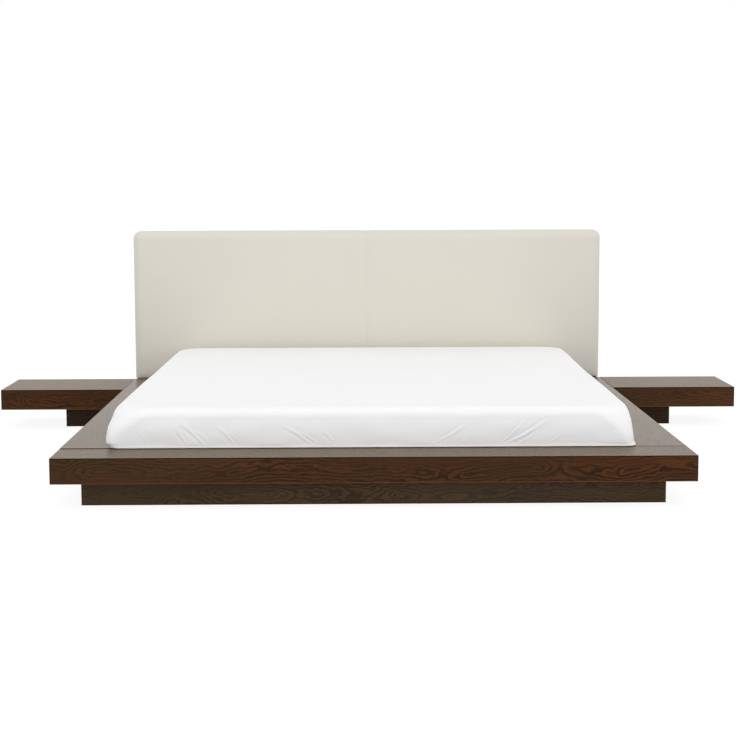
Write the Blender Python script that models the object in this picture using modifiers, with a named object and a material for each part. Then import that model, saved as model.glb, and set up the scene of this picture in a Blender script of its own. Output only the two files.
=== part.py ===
"""Low platform waterbed: dark veneered frame, two slab nightstands, a padded headboard
and a soft-sided water mattress with two heated cores. Metres, +Z up, foot towards -Y."""

import math

import bmesh
import bpy
from mathutils import Vector

# Gaps, overruns and rounding that every piece shares
FIT = 0.0003
OVERRUN = 0.002
MERGE = 0.0001
ROUND_STEPS = 24

# Bed zone between the rails
ZONE_WIDTH = 1.80
ZONE_LENGTH = 2.00

# Rails and plinth
SIDE_RAIL_WIDTH = 0.18
FRONT_RAIL_DEPTH = 0.20
HEAD_RAIL_DEPTH = 0.03
RAIL_HEIGHT = 0.088
RAIL_EDGE = 0.0015
PLINTH_HEIGHT = 0.088
PLINTH_INSET = 0.09
BOARD = 0.019
BOARD_EDGE = 0.0008

# Bearers and deck inside the plinth
DECK_THICKNESS = 0.018
BEARER_LEAD_GAP = 0.05
FOOT_BEARER_INSET = 0.055
HEAD_BEARER_INSET = 0.045

# Steel plates that tie the front rail to the side rails
PLATE_WIDTH = 0.06
PLATE_LENGTH = 0.11
PLATE_THICKNESS = 0.004
PLATE_SIDE_GAP = 0.005
PLATE_BEARER_GAP = 0.004
PLATE_SCREW_RADIUS = 0.005
PLATE_SCREW_HEIGHT = 0.002
PLATE_SCREW_INSET = 0.016

# Nightstands
NIGHTSTAND_WIDTH = 0.538
NIGHTSTAND_DEPTH = 0.40
NIGHTSTAND_GAP = 0.002
NIGHTSTAND_OVERHANG = 0.27
SCREW_HEAD_RADIUS = 0.004
SCREW_HEAD_HEIGHT = 0.003
SCREW_RADIUS = 0.0022
SCREW_LENGTH = 0.042
SCREW_HEIGHT_SHARE = 0.55

# Headboard
HEADBOARD_HEIGHT = 0.86
PAD_DEPTH = 0.0614
PAD_RISE = 0.002
PAD_CORNER = 0.034
PAD_EDGE = 0.040
PAD_EDGE_DEPTH = 0.034
PAD_FOOT_EDGE = 0.016
PAD_CROWN = 0.004
SEAM_HALF_WIDTH = 0.010
SEAM_DEPTH = 0.005
BACK_BOARD = 0.018
BACK_BOARD_INSET = 0.003
HEADBOARD_FOOT_INSET = 0.02
BOLT_RADIUS = 0.004
BOLT_HEAD_RADIUS = 0.009
BOLT_HEAD_HEIGHT = 0.005
BOLT_SINK = 0.006
BOLT_GRIP = 0.022
BOLT_INSET = 0.38

# Mattress casing
SIDE_GAP = 0.015
FABRIC = 0.0047
FLOOR_FABRIC = 0.003
CASING_CORNER = 0.045
BASE_WALL_TOP = 0.150
ZIP_GAP = 0.0015
HEM_HEIGHT = 0.0165
ROLL_HEIGHT = 0.012
ROLL_OUT = 0.003
COVER_BULGE = 0.008
COVER_TOP = 0.317
COVER_EDGE = 0.050
COVER_EDGE_HEIGHT = 0.040
COVER_CROWN = 0.003

# Foam frame and divider
FOAM_TOP = 0.290
FOAM_FOOT_WIDTH = 0.16
FOAM_TOP_WIDTH = 0.10
DIVIDER_FOOT_HALF = 0.05
DIVIDER_TOP_HALF = 0.015

# Heating and liners
MAT_THICKNESS = 0.010
HEATER_WIDTH = 0.30
HEATER_LENGTH = 0.60
HEATER_THICKNESS = 0.003
HEATER_SIDE_INSET = 0.50
HEATER_HEAD_INSET = 0.445
HEATER_POCKET = 0.004
POCKET_MARGIN = 0.001
LINER = 0.001
LINER_RIM_DROP = 0.02

# Water cores and their valves
VALVE_SIDE_INSET = 0.50
VALVE_HEAD_INSET = 0.35
NECK_RADIUS = 0.015
NECK_HEIGHT = 0.004
CAP_RADIUS = 0.020
CAP_HEIGHT = 0.010
CAP_EDGE = 0.0015
CAP_BAR_LENGTH = 0.026
CAP_BAR_WIDTH = 0.005
CAP_BAR_HEIGHT = 0.0025
CAP_POCKET_GAP = 0.003

# Zip round the casing
CHAIN_HEIGHT = 0.008
CHAIN_THICKNESS = 0.003
SLIDER_LENGTH = 0.012
SLIDER_FACE = 0.004
SLIDER_FLANGE = 0.0025
SLIDER_START_INSET = 0.105
EAR_WIDTH = 0.0014
EAR_REACH = 0.0034
EAR_HEIGHT = 0.004
EAR_SPACING = 0.0064
PIN_RADIUS = 0.0007
PIN_HOLE_GAP = 0.0003
TAB_THICKNESS = 0.0012
TAB_WIDTH = 0.0042
TAB_LENGTH = 0.016

# Heater controllers under the nightstands
CASE_WIDTH = 0.150
CASE_DEPTH = 0.090
CASE_HEIGHT = 0.033
CASE_EDGE = 0.003
CASE_OUTER_GAP = 0.06
CASE_BACK_GAP = 0.06
EAR_PLATE_WIDTH = 0.020
EAR_PLATE_REACH = 0.012
EAR_PLATE_THICKNESS = 0.003
DIAL_RADIUS = 0.013
DIAL_HEIGHT = 0.012
DIAL_EDGE = 0.0015
DIAL_SHAFT_RADIUS = 0.003
DIAL_SHAFT_LENGTH = 0.006
DIAL_FRONT_INSET = 0.030
POINTER_LENGTH = 0.010
POINTER_WIDTH = 0.002
POINTER_HEIGHT = 0.001
ROCKER_RADIUS = 0.009
ROCKER_WIDTH = 0.0134
ROCKER_SINK = 0.006
ROCKER_FRONT_INSET = 0.066
ROCKER_TILT_DEGREES = 7
RIDGE_WIDTH = 0.0016
RIDGE_HEIGHT = 0.0012
GLAND_RADIUS = 0.007
GLAND_TIP_RADIUS = 0.0055
GLAND_LENGTH = 0.014
GLAND_DIMPLE_RADIUS = 0.0034
GLAND_DIMPLE = 0.002

# Heater leads
LEAD_RADIUS = 0.0025
LEAD_BEND = 0.020
LEAD_GROOVE = 0.001
LEAD_HOLE_RADIUS = 0.007
LEAD_DROP_RADIUS = 0.016
LEAD_FRONT_INSET = 0.015
LEAD_DROP_INSET = 0.225
LEAD_STEPS = 2

# Where the pad's slices lie: across an end's rounding, along a half, in the seam, up the front
END_SHARES = (0, 0.04, 0.15, 0.35, 0.65, 1)
SPAN_SHARES = (0.25, 0.6)
SEAM_SHARES = (1, 0.5)
FRONT_SHARES = (0.15, 0.5, 0.85)

# Where the cover's rings lie: up its bulging side, then in and up over its crown
BULGE_SHARES = (0.25, 0.5, 0.75)
CROWN_SHARES = ((0.125, 0.5), (0.3, 0.9), (0.425, 1))

# Heights of the stack, from the floor up
RAIL_TOP = PLINTH_HEIGHT + RAIL_HEIGHT
DECK_TOP = PLINTH_HEIGHT + DECK_THICKNESS
FLOOR_FABRIC_TOP = DECK_TOP + FIT + FLOOR_FABRIC
MAT_FOOT = FLOOR_FABRIC_TOP + FIT
MAT_TOP = MAT_FOOT + MAT_THICKNESS
HEATER_FOOT = MAT_TOP - HEATER_POCKET + FIT
LINER_FOOT = MAT_TOP + FIT
CORE_FOOT = LINER_FOOT + LINER + FIT
HEM_FOOT = BASE_WALL_TOP + ZIP_GAP

# Places along the bed, from foot to head
LENGTH = FRONT_RAIL_DEPTH + ZONE_LENGTH + HEAD_RAIL_DEPTH + FIT + PAD_DEPTH + FIT + BACK_BOARD
FOOT_Y = -LENGTH / 2
ZONE_FOOT_Y = FOOT_Y + FRONT_RAIL_DEPTH
ZONE_HEAD_Y = ZONE_FOOT_Y + ZONE_LENGTH
ZONE_MID_Y = (ZONE_FOOT_Y + ZONE_HEAD_Y) / 2
FRAME_HEAD_Y = ZONE_HEAD_Y + HEAD_RAIL_DEPTH
PAD_FRONT_Y = FRAME_HEAD_Y + FIT
PAD_BACK_Y = PAD_FRONT_Y + PAD_DEPTH
BOARD_FRONT_Y = PAD_BACK_Y + FIT
BOARD_BACK_Y = BOARD_FRONT_Y + BACK_BOARD
PLINTH_FRONT_Y = FOOT_Y + PLINTH_INSET
PLINTH_BACK_Y = ZONE_HEAD_Y + (HEAD_RAIL_DEPTH - BOARD) / 2
CROSS_BEARER_Y = {
    "foot": ZONE_FOOT_Y + FOOT_BEARER_INSET,
    "middle": ZONE_MID_Y,
    "head": ZONE_HEAD_Y - HEAD_BEARER_INSET,
}

# Places across the bed, from the middle out
HALF_ZONE = ZONE_WIDTH / 2
RAIL_OUTER_X = HALF_ZONE + SIDE_RAIL_WIDTH
HEATER_X = HALF_ZONE - HEATER_SIDE_INSET
VALVE_X = HALF_ZONE - VALVE_SIDE_INSET
LONG_BEARER_X = HEATER_X + BEARER_LEAD_GAP
BOLT_X = RAIL_OUTER_X - BOLT_INSET
PLINTH_OUTER_X = RAIL_OUTER_X - PLINTH_INSET
PLINTH_INNER_X = PLINTH_OUTER_X - BOARD
NIGHTSTAND_INNER_X = RAIL_OUTER_X + NIGHTSTAND_GAP
NIGHTSTAND_OUTER_X = NIGHTSTAND_INNER_X + NIGHTSTAND_WIDTH
NIGHTSTAND_FRONT_Y = FRAME_HEAD_Y - NIGHTSTAND_DEPTH
STAND_END_X = NIGHTSTAND_OUTER_X - NIGHTSTAND_OVERHANG
STAND_FRONT_Y = NIGHTSTAND_FRONT_Y + PLINTH_INSET
STAND_BACK_Y = FRAME_HEAD_Y - PLINTH_INSET
CASE_OUTER_X = NIGHTSTAND_OUTER_X - CASE_OUTER_GAP
CASE_BACK_Y = FRAME_HEAD_Y - CASE_BACK_GAP
CASE_FRONT_Y = CASE_BACK_Y - CASE_DEPTH
CASE_TOP = PLINTH_HEIGHT - FIT
CASE_MID_Z = CASE_TOP - CASE_HEIGHT / 2

# The mattress in plan: its outer wall below the rails' tops, and the foam inside it
WALL_X = HALF_ZONE - SIDE_GAP
WALL_Y = ZONE_LENGTH / 2 - SIDE_GAP
FOAM_X = WALL_X - FABRIC - FIT
FOAM_Y = WALL_Y - FABRIC - FIT
HEATER_HEAD_Y = ZONE_HEAD_Y - HEATER_HEAD_INSET
LEAD_RUN_Y = CASE_FRONT_Y + LEAD_FRONT_INSET
LEAD_DROP_Y = ZONE_HEAD_Y - LEAD_DROP_INSET
LEAD_TOP_Z = MAT_TOP - LEAD_RADIUS - FIT
VALVE_Y = ZONE_HEAD_Y - VALVE_HEAD_INSET

SIDES = {"left": -1, "right": 1}
X_AXIS = Vector((1, 0, 0))
Y_AXIS = Vector((0, 1, 0))
Z_AXIS = Vector((0, 0, 1))

# Colour, roughness and metallic value of each finish
FINISHES = {
    "dark_wood": ((0.046, 0.026, 0.016), 0.42, 0),
    "plywood": ((0.42, 0.29, 0.17), 0.7, 0),
    "leather": ((0.70, 0.66, 0.57), 0.48, 0),
    "back_cloth": ((0.05, 0.045, 0.04), 0.9, 0),
    "white_cloth": ((0.86, 0.86, 0.86), 0.85, 0),
    "grey_cloth": ((0.45, 0.46, 0.48), 0.9, 0),
    "foam": ((0.78, 0.76, 0.66), 0.95, 0),
    "felt": ((0.62, 0.62, 0.60), 0.95, 0),
    "vinyl": ((0.10, 0.24, 0.45), 0.35, 0),
    "clear_liner": ((0.55, 0.60, 0.64), 0.3, 0),
    "heater_film": ((0.05, 0.05, 0.055), 0.5, 0),
    "white_plastic": ((0.80, 0.80, 0.78), 0.4, 0),
    "black_plastic": ((0.02, 0.02, 0.022), 0.5, 0),
    "black_rubber": ((0.018, 0.018, 0.018), 0.6, 0),
    "steel": ((0.56, 0.57, 0.58), 0.35, 1),
    "black_steel": ((0.02, 0.02, 0.02), 0.4, 1),
}


# Scene and finish helpers
def clear_scene():
    for old in list(bpy.data.objects):
        bpy.data.objects.remove(old, do_unlink=True)


def new_collection(name):
    collection = bpy.data.collections.new(name)
    bpy.context.scene.collection.children.link(collection)
    return collection


def give_finish(obj, finish):
    colour, roughness, metallic = FINISHES[finish]
    material = bpy.data.materials.new(f"{obj.name}_{finish}")
    material.use_nodes = True
    shader = material.node_tree.nodes["Principled BSDF"]
    shader.inputs["Base Color"].default_value = (*colour, 1)
    shader.inputs["Roughness"].default_value = roughness
    shader.inputs["Metallic"].default_value = metallic
    obj.data.materials.append(material)


def place(name, data, centre, finish):
    """Links a new object: a part of the bed with its finish, or a hidden cutter without one."""
    obj = bpy.data.objects.new(name, data)
    obj.location = centre
    if finish:
        PARTS.objects.link(obj)
        give_finish(obj, finish)
    else:
        CUTTERS.objects.link(obj)
        obj.hide_render = True
        obj.display_type = "WIRE"
    return obj


def to_object(name, bm, centre, finish):
    bmesh.ops.recalc_face_normals(bm, faces=bm.faces)
    mesh = bpy.data.meshes.new(name)
    bm.to_mesh(mesh)
    bm.free()
    return place(name, mesh, centre, finish)


# Shape helpers: a finish of None makes a cutter
def box(name, low, high, finish=None):
    low, high = Vector(low), Vector(high)
    bm = bmesh.new()
    bmesh.ops.create_cube(bm, size=1)
    bmesh.ops.scale(bm, vec=high - low, verts=bm.verts)
    return to_object(name, bm, (low + high) / 2, finish)


def mirrored_box(name, side, low, high, finish=None):
    """A box given on the right side of the bed, put on either side of it."""
    ends = sorted((side * low[0], side * high[0]))
    return box(name, (ends[0], *low[1:]), (ends[1], *high[1:]), finish)


def rod(name, start, axis, radius, length, finish=None):
    """A round bar from its start along its axis."""
    bm = bmesh.new()
    bmesh.ops.create_cone(
        bm, cap_ends=True, segments=ROUND_STEPS, radius1=radius, radius2=radius, depth=length
    )
    obj = to_object(name, bm, Vector(start) + axis * length / 2, finish)
    turn_to(obj, axis)
    return obj


def turn_to(obj, axis):
    obj.rotation_mode = "QUATERNION"
    obj.rotation_quaternion = Z_AXIS.rotation_difference(axis)


def turned(name, profile, start, axis, finish=None):
    """A turned shape: radius and height pairs, from the top down, swept about its axis."""
    mesh = bpy.data.meshes.new(name)
    edges = [(i, i + 1) for i in range(len(profile) - 1)]
    mesh.from_pydata([(radius, 0, height) for radius, height in profile], edges, [])
    obj = place(name, mesh, start, finish)
    turn_to(obj, axis)
    screw = obj.modifiers.new("turn", "SCREW")
    screw.steps = screw.render_steps = ROUND_STEPS
    screw.use_merge_vertices = True
    screw.merge_threshold = MERGE
    screw.use_smooth_shade = True
    return obj


def rounded_outline(half_x, half_y, radius, steps=4):
    """The corners of a rectangle as arcs, counter-clockwise."""
    points = []
    for corner, (sign_x, sign_y) in enumerate(((1, 1), (-1, 1), (-1, -1), (1, -1))):
        middle = Vector((sign_x * (half_x - radius), sign_y * (half_y - radius)))
        for step in range(steps + 1):
            angle = math.pi / 2 * (corner + step / steps)
            points.append(middle + radius * Vector((math.cos(angle), math.sin(angle))))
    return points


def loft(name, rings, centre, finish=None, endless=False):
    """A body through rings of equal length, capped at both ends or joined into a ring."""
    bm = bmesh.new()
    loops = [[bm.verts.new(point) for point in ring] for ring in rings]
    pairs = list(zip(loops, loops[1:]))
    if endless:
        pairs.append((loops[-1], loops[0]))
    for lower, upper in pairs:
        for i, corner in enumerate(lower):
            after = (i + 1) % len(lower)
            bm.faces.new((corner, lower[after], upper[after], upper[i]))
    if not endless:
        bm.faces.new(loops[0])
        bm.faces.new(loops[-1])
    return to_object(name, bm, centre, finish)


def level_ring(half_x, half_y, radius, height):
    return [(point.x, point.y, height) for point in rounded_outline(half_x, half_y, radius)]


def tapered(name, foot, top, foot_z, top_z, finish=None):
    """A block whose foot and top are different rectangles: each is x0, x1, y0, y1."""
    bm = bmesh.new()
    bmesh.ops.create_cube(bm, size=1)
    for vert in bm.verts:
        x0, x1, y0, y1 = top if vert.co.z > 0 else foot
        vert.co.x = x1 if vert.co.x > 0 else x0
        vert.co.y = y1 if vert.co.y > 0 else y0
        vert.co.z = top_z if vert.co.z > 0 else foot_z
    return to_object(name, bm, (0, 0, 0), finish)


# Helpers that work on a finished object
def soften(obj, width, segments=1):
    bevel = obj.modifiers.new("soft edges", "BEVEL")
    bevel.width = width
    bevel.segments = segments
    bevel.limit_method = "ANGLE"


def combine(obj, other, operation):
    boolean = obj.modifiers.new(other.name, "BOOLEAN")
    boolean.operation = operation
    boolean.object = other


def cut(obj, *cutters):
    for cutter in cutters:
        combine(obj, cutter, "DIFFERENCE")


def join(obj, *additions):
    for addition in additions:
        combine(obj, addition, "UNION")


def shade_round(obj):
    obj.data.shade_smooth()
    obj.data.set_sharp_from_angle(angle=math.radians(35))


def put_on_pivot(obj, place_of_joint):
    """Parents a moving piece to an empty on its joint's axis."""
    pivot = bpy.data.objects.new(f"{obj.name}_pivot", None)
    pivot.location = place_of_joint
    PARTS.objects.link(pivot)
    obj.parent = pivot
    obj.location = obj.location - Vector(place_of_joint)


# Platform frame
def make_rails():
    bodies = [
        box(
            "front_rail",
            (-RAIL_OUTER_X, FOOT_Y, PLINTH_HEIGHT),
            (RAIL_OUTER_X, ZONE_FOOT_Y, RAIL_TOP),
            "dark_wood",
        )
    ]
    for word, side in SIDES.items():
        low = (HALF_ZONE, ZONE_FOOT_Y + FIT, PLINTH_HEIGHT)
        high = (RAIL_OUTER_X, FRAME_HEAD_Y, RAIL_TOP)
        bodies.append(mirrored_box(f"side_rail_{word}", side, low, high, "dark_wood"))
    head = box(
        "head_rail",
        (-HALF_ZONE + FIT, ZONE_HEAD_Y, PLINTH_HEIGHT),
        (HALF_ZONE - FIT, FRAME_HEAD_Y, RAIL_TOP),
        "dark_wood",
    )
    for body in (*bodies, head):
        soften(body, RAIL_EDGE, 2)
    cut(head, *(bolt_cutter(f"head_rail_bolt_hole_{word}", side) for word, side in SIDES.items()))


def make_plinth():
    top = PLINTH_HEIGHT - FIT
    front = box(
        "plinth_front",
        (-PLINTH_OUTER_X, PLINTH_FRONT_Y, 0),
        (PLINTH_OUTER_X, PLINTH_FRONT_Y + BOARD, top),
        "dark_wood",
    )
    back = box(
        "plinth_back",
        (-PLINTH_OUTER_X, PLINTH_BACK_Y, 0),
        (PLINTH_OUTER_X, PLINTH_BACK_Y + BOARD, top),
        "dark_wood",
    )
    soften(front, BOARD_EDGE)
    soften(back, BOARD_EDGE)
    for word, side in SIDES.items():
        low = (PLINTH_INNER_X, PLINTH_FRONT_Y + BOARD + FIT, 0)
        high = (PLINTH_OUTER_X, PLINTH_BACK_Y - FIT, top)
        board = mirrored_box(f"plinth_side_{word}", side, low, high, "dark_wood")
        soften(board, BOARD_EDGE)
        cut(board, LEAD_CUTTERS[word])


def bearer_slot(name, x, y, foot, top):
    """The cutter for one half of a halving joint between two bearers."""
    half = BOARD / 2 + FIT
    return box(name, (x - half, y - half, foot), (x + half, y + half, top))


def make_bearers():
    top = PLINTH_HEIGHT - FIT
    middle = top / 2
    for word, y in CROSS_BEARER_Y.items():
        reach = PLINTH_INNER_X - FIT
        bearer = box(
            f"cross_bearer_{word}",
            (-reach, y - BOARD / 2, 0),
            (reach, y + BOARD / 2, top),
            "plywood",
        )
        for end, side in SIDES.items():
            slot = bearer_slot(
                f"cross_slot_{word}_{end}", side * LONG_BEARER_X, y, middle - FIT / 2, top + OVERRUN
            )
            cut(bearer, slot)
    for word, side in SIDES.items():
        x = side * LONG_BEARER_X
        bearer = box(
            f"long_bearer_{word}",
            (x - BOARD / 2, PLINTH_FRONT_Y + BOARD + FIT, 0),
            (x + BOARD / 2, PLINTH_BACK_Y - FIT, top),
            "plywood",
        )
        for end, y in CROSS_BEARER_Y.items():
            cut(bearer, bearer_slot(f"long_slot_{word}_{end}", x, y, -OVERRUN, middle + FIT / 2))
        cut(bearer, LEAD_CUTTERS[word])


def make_deck():
    halves = {
        "foot": (ZONE_FOOT_Y + FIT, ZONE_MID_Y - FIT / 2),
        "head": (ZONE_MID_Y + FIT / 2, ZONE_HEAD_Y - FIT),
    }
    for word, (start, end) in halves.items():
        panel = box(
            f"deck_panel_{word}",
            (-HALF_ZONE + FIT, start, PLINTH_HEIGHT),
            (HALF_ZONE - FIT, end, DECK_TOP),
            "plywood",
        )
        if word == "head":
            cut(panel, *DROP_CUTTERS.values())


def make_corner_plates():
    """Flat ties under the rails' front corners, each with four screw heads."""
    top = PLINTH_HEIGHT - FIT
    inner_x = HALF_ZONE + PLATE_SIDE_GAP
    start_y = CROSS_BEARER_Y["foot"] - BOARD / 2 - PLATE_BEARER_GAP - PLATE_LENGTH
    for word, side in SIDES.items():
        plate = mirrored_box(
            f"corner_plate_{word}",
            side,
            (inner_x, start_y, top - PLATE_THICKNESS),
            (inner_x + PLATE_WIDTH, start_y + PLATE_LENGTH, top),
            "steel",
        )
        for column in (PLATE_SCREW_INSET, PLATE_WIDTH - PLATE_SCREW_INSET):
            for row in (PLATE_SCREW_INSET, PLATE_LENGTH - PLATE_SCREW_INSET):
                head = rod(
                    f"plate_screw_{word}",
                    (side * (inner_x + column), start_y + row, top - PLATE_THICKNESS / 2),
                    -Z_AXIS,
                    PLATE_SCREW_RADIUS,
                    PLATE_THICKNESS / 2 + PLATE_SCREW_HEIGHT,
                )
                join(plate, head)


# Nightstands
def screw_profile(growth, length):
    """A flat-headed screw from its head down, grown all round for its hole."""
    return [
        (0, 0),
        (SCREW_HEAD_RADIUS + growth, 0),
        (SCREW_HEAD_RADIUS + growth, -SCREW_HEAD_HEIGHT - growth),
        (SCREW_RADIUS + growth, -SCREW_HEAD_HEIGHT - growth),
        (SCREW_RADIUS + growth, -length),
        (0, -length),
    ]


def make_nightstand(word, side):
    slab = mirrored_box(
        f"nightstand_{word}",
        side,
        (NIGHTSTAND_INNER_X, NIGHTSTAND_FRONT_Y, PLINTH_HEIGHT),
        (NIGHTSTAND_OUTER_X, FRAME_HEAD_Y, RAIL_TOP),
        "dark_wood",
    )
    soften(slab, RAIL_EDGE, 2)
    top = PLINTH_HEIGHT - FIT
    inner_x = PLINTH_OUTER_X + FIT
    boards = {
        "front": ((inner_x, STAND_FRONT_Y, 0), (STAND_END_X, STAND_FRONT_Y + BOARD, top)),
        "back": ((inner_x, STAND_BACK_Y - BOARD, 0), (STAND_END_X, STAND_BACK_Y, top)),
        "end": (
            (STAND_END_X - BOARD, STAND_FRONT_Y + BOARD + FIT, 0),
            (STAND_END_X, STAND_BACK_Y - BOARD - FIT, top),
        ),
    }
    made = {}
    for edge, (low, high) in boards.items():
        name = f"nightstand_plinth_{edge}_{word}"
        made[edge] = mirrored_box(name, side, low, high, "dark_wood")
        soften(made[edge], BOARD_EDGE)
    screw_place = (
        side * (STAND_END_X - BOARD / 2),
        STAND_FRONT_Y,
        PLINTH_HEIGHT * SCREW_HEIGHT_SHARE,
    )
    turned(
        f"plinth_screw_{word}", screw_profile(0, SCREW_LENGTH), screw_place, -Y_AXIS, "black_steel"
    )
    hole = screw_profile(FIT, SCREW_LENGTH + OVERRUN)
    hole[0:2] = [(0, OVERRUN), (SCREW_HEAD_RADIUS + FIT, OVERRUN)]
    hole_cutter = turned(f"screw_hole_{word}", hole, screw_place, -Y_AXIS)
    cut(made["front"], hole_cutter)
    cut(made["end"], hole_cutter, LEAD_CUTTERS[word])


# Headboard
def bolt_profile(growth, top, tip):
    """A flat bolt from its head at the back of the headboard, grown all round for its hole."""
    return [
        (0, top),
        (BOLT_HEAD_RADIUS + growth, top),
        (BOLT_HEAD_RADIUS + growth, -BOLT_HEAD_HEIGHT - growth),
        (BOLT_RADIUS + growth, -BOLT_HEAD_HEIGHT - growth),
        (BOLT_RADIUS + growth, tip),
        (0, tip),
    ]


def bolt_place(side):
    return (side * BOLT_X, BOARD_BACK_Y - BOLT_SINK, PLINTH_HEIGHT + RAIL_HEIGHT / 2)


def bolt_length():
    return BOARD_BACK_Y - BOLT_SINK - FRAME_HEAD_Y + BOLT_GRIP


def bolt_cutter(name, side):
    profile = bolt_profile(FIT, BOLT_SINK + OVERRUN, -bolt_length() - FIT)
    return turned(name, profile, bolt_place(side), Y_AXIS)


def pad_section(x, half_width):
    """One slice of the pad across the bed: back, rounded foot, crowned front, rounded top."""
    end = half_width - abs(x)
    corner = max(0, PAD_CORNER - end)
    drop = PAD_CORNER - math.sqrt(PAD_CORNER**2 - corner**2)
    edge = max(0, PAD_EDGE - end) / PAD_EDGE
    recess = PAD_EDGE_DEPTH * (1 - math.sqrt(1 - edge**2))
    seam = max(0, 1 - abs(x) / SEAM_HALF_WIDTH)
    dip = SEAM_DEPTH * math.sin(seam * math.pi / 2) ** 2
    foot = RAIL_TOP + PAD_RISE
    top = HEADBOARD_HEIGHT - drop - dip
    shoulder = PAD_FRONT_Y + PAD_CROWN + PAD_EDGE_DEPTH
    front = PAD_FRONT_Y + PAD_CROWN + recess + dip * (1 - edge)
    swell = PAD_CROWN * (1 - (x / half_width) ** 2) * (1 - edge)
    points = [(x, PAD_BACK_Y, top), (x, PAD_BACK_Y, foot)]
    for step in range(4):
        angle = math.pi / 2 * step / 3
        inward = (shoulder - front) * math.sin(angle)
        points.append((x, shoulder - inward, foot + PAD_FOOT_EDGE * (1 - math.cos(angle))))
    for share in FRONT_SHARES:
        low = foot + PAD_FOOT_EDGE
        high = top - PAD_EDGE
        bow = swell * (1 - (2 * share - 1) ** 2)
        points.append((x, front - bow, low + share * (high - low)))
    for step in range(6):
        angle = math.pi / 2 * step / 5
        inward = (shoulder - front) * math.cos(angle)
        points.append((x, shoulder - inward, top - PAD_EDGE * (1 - math.sin(angle))))
    return points


def make_headboard():
    half_width = RAIL_OUTER_X
    stations = [half_width - PAD_EDGE * share for share in END_SHARES]
    stations += [half_width * (1 - share) for share in SPAN_SHARES]
    stations += [SEAM_HALF_WIDTH * share for share in SEAM_SHARES]
    stations = [-x for x in stations] + [0] + stations[::-1]
    pad = loft(
        "headboard_pad", [pad_section(x, half_width) for x in stations], (0, 0, 0), "leather"
    )
    shade_round(pad)

    half_board = half_width - BACK_BOARD_INSET
    board_top = HEADBOARD_HEIGHT - BACK_BOARD_INSET
    corner = PAD_CORNER - BACK_BOARD_INSET
    outline = [(-half_board, 0), (half_board, 0)]
    for start in (0, math.pi / 2):
        middle_x = (half_board - corner) * (1 if start == 0 else -1)
        for step in range(5):
            angle = start + math.pi / 2 * step / 4
            outline.append(
                (middle_x + corner * math.cos(angle), board_top - corner * (1 - math.sin(angle)))
            )
    faces = [[(x, y, z) for x, z in outline] for y in (BOARD_FRONT_Y, BOARD_BACK_Y)]
    board = loft("headboard_board", faces, (0, 0, 0), "back_cloth")
    foot = box(
        "headboard_foot",
        (-half_width + HEADBOARD_FOOT_INSET, PAD_FRONT_Y, 0),
        (half_width - HEADBOARD_FOOT_INSET, PAD_BACK_Y, RAIL_TOP + PAD_RISE - FIT),
        "dark_wood",
    )
    soften(foot, BOARD_EDGE)
    for word, side in SIDES.items():
        turned(
            f"headboard_bolt_{word}",
            bolt_profile(0, 0, -bolt_length()),
            bolt_place(side),
            Y_AXIS,
            "steel",
        )
        cut(board, bolt_cutter(f"board_bolt_hole_{word}", side))
        cut(foot, bolt_cutter(f"foot_bolt_hole_{word}", side))


# Mattress casing
def casing_ring(outset, height):
    """A level ring round the mattress, outset from its wall below the rails' tops."""
    radius = CASING_CORNER + outset
    return level_ring(WALL_X + outset, WALL_Y + outset, radius, height)


def make_base_cover():
    foot = DECK_TOP + FIT
    rings = [
        casing_ring(0, foot),
        casing_ring(0, BASE_WALL_TOP),
        casing_ring(-FABRIC, BASE_WALL_TOP),
        casing_ring(-FABRIC, FLOOR_FABRIC_TOP),
    ]
    tray = loft("base_cover", rings, (0, ZONE_MID_Y, 0), "grey_cloth")
    cut(tray, *DROP_CUTTERS.values())


def cover_profile():
    """Outset and height pairs up the cover's outer face: hem, roll over the rail, bulge, edge."""
    roll_foot = HEM_FOOT + HEM_HEIGHT
    roll_top = roll_foot + ROLL_HEIGHT
    edge_foot = COVER_TOP - COVER_CROWN - COVER_EDGE_HEIGHT
    profile = [(0, HEM_FOOT), (0, roll_foot)]
    for step in (1, 2):
        angle = math.pi / 2 * step / 2
        outset = (SIDE_GAP + ROLL_OUT) * (1 - math.cos(angle))
        profile.append((outset, roll_foot + ROLL_HEIGHT * math.sin(angle)))
    for share in BULGE_SHARES:
        swell = 1 - (2 * share - 1) ** 2
        profile.append(
            (
                SIDE_GAP + ROLL_OUT + (COVER_BULGE - ROLL_OUT) * swell,
                roll_top + share * (edge_foot - roll_top),
            )
        )
    for step in range(6):
        angle = math.pi / 2 * step / 5
        outset = SIDE_GAP + ROLL_OUT - COVER_EDGE * (1 - math.cos(angle))
        profile.append((outset, edge_foot + COVER_EDGE_HEIGHT * math.sin(angle)))
    return profile


def make_top_cover():
    ceiling = FOAM_TOP + FIT
    rings = [casing_ring(-FABRIC, ceiling), casing_ring(-FABRIC, HEM_FOOT)]
    profile = cover_profile()
    rings += [casing_ring(outset, height) for outset, height in profile]
    edge_outset, edge_height = profile[-1]
    radius = CASING_CORNER
    for inward, rise in CROWN_SHARES:
        ring = level_ring(
            (WALL_X + edge_outset) * (1 - inward),
            (WALL_Y + edge_outset) * (1 - inward),
            radius,
            edge_height + COVER_CROWN * rise,
        )
        rings.append(ring)
    cover = loft("top_cover", rings, (0, ZONE_MID_Y, 0), "white_cloth")
    shade_round(cover)
    pocket_height = CAP_HEIGHT + CAP_BAR_HEIGHT + CAP_POCKET_GAP
    for word, side in SIDES.items():
        start = (side * VALVE_X, VALVE_Y, ceiling - OVERRUN)
        pocket = rod(
            f"cap_pocket_{word}", start, Z_AXIS, CAP_RADIUS + CAP_POCKET_GAP, pocket_height + OVERRUN
        )
        cut(cover, pocket)
    put_on_pivot(cover, (0, ZONE_MID_Y, HEM_FOOT))


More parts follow.
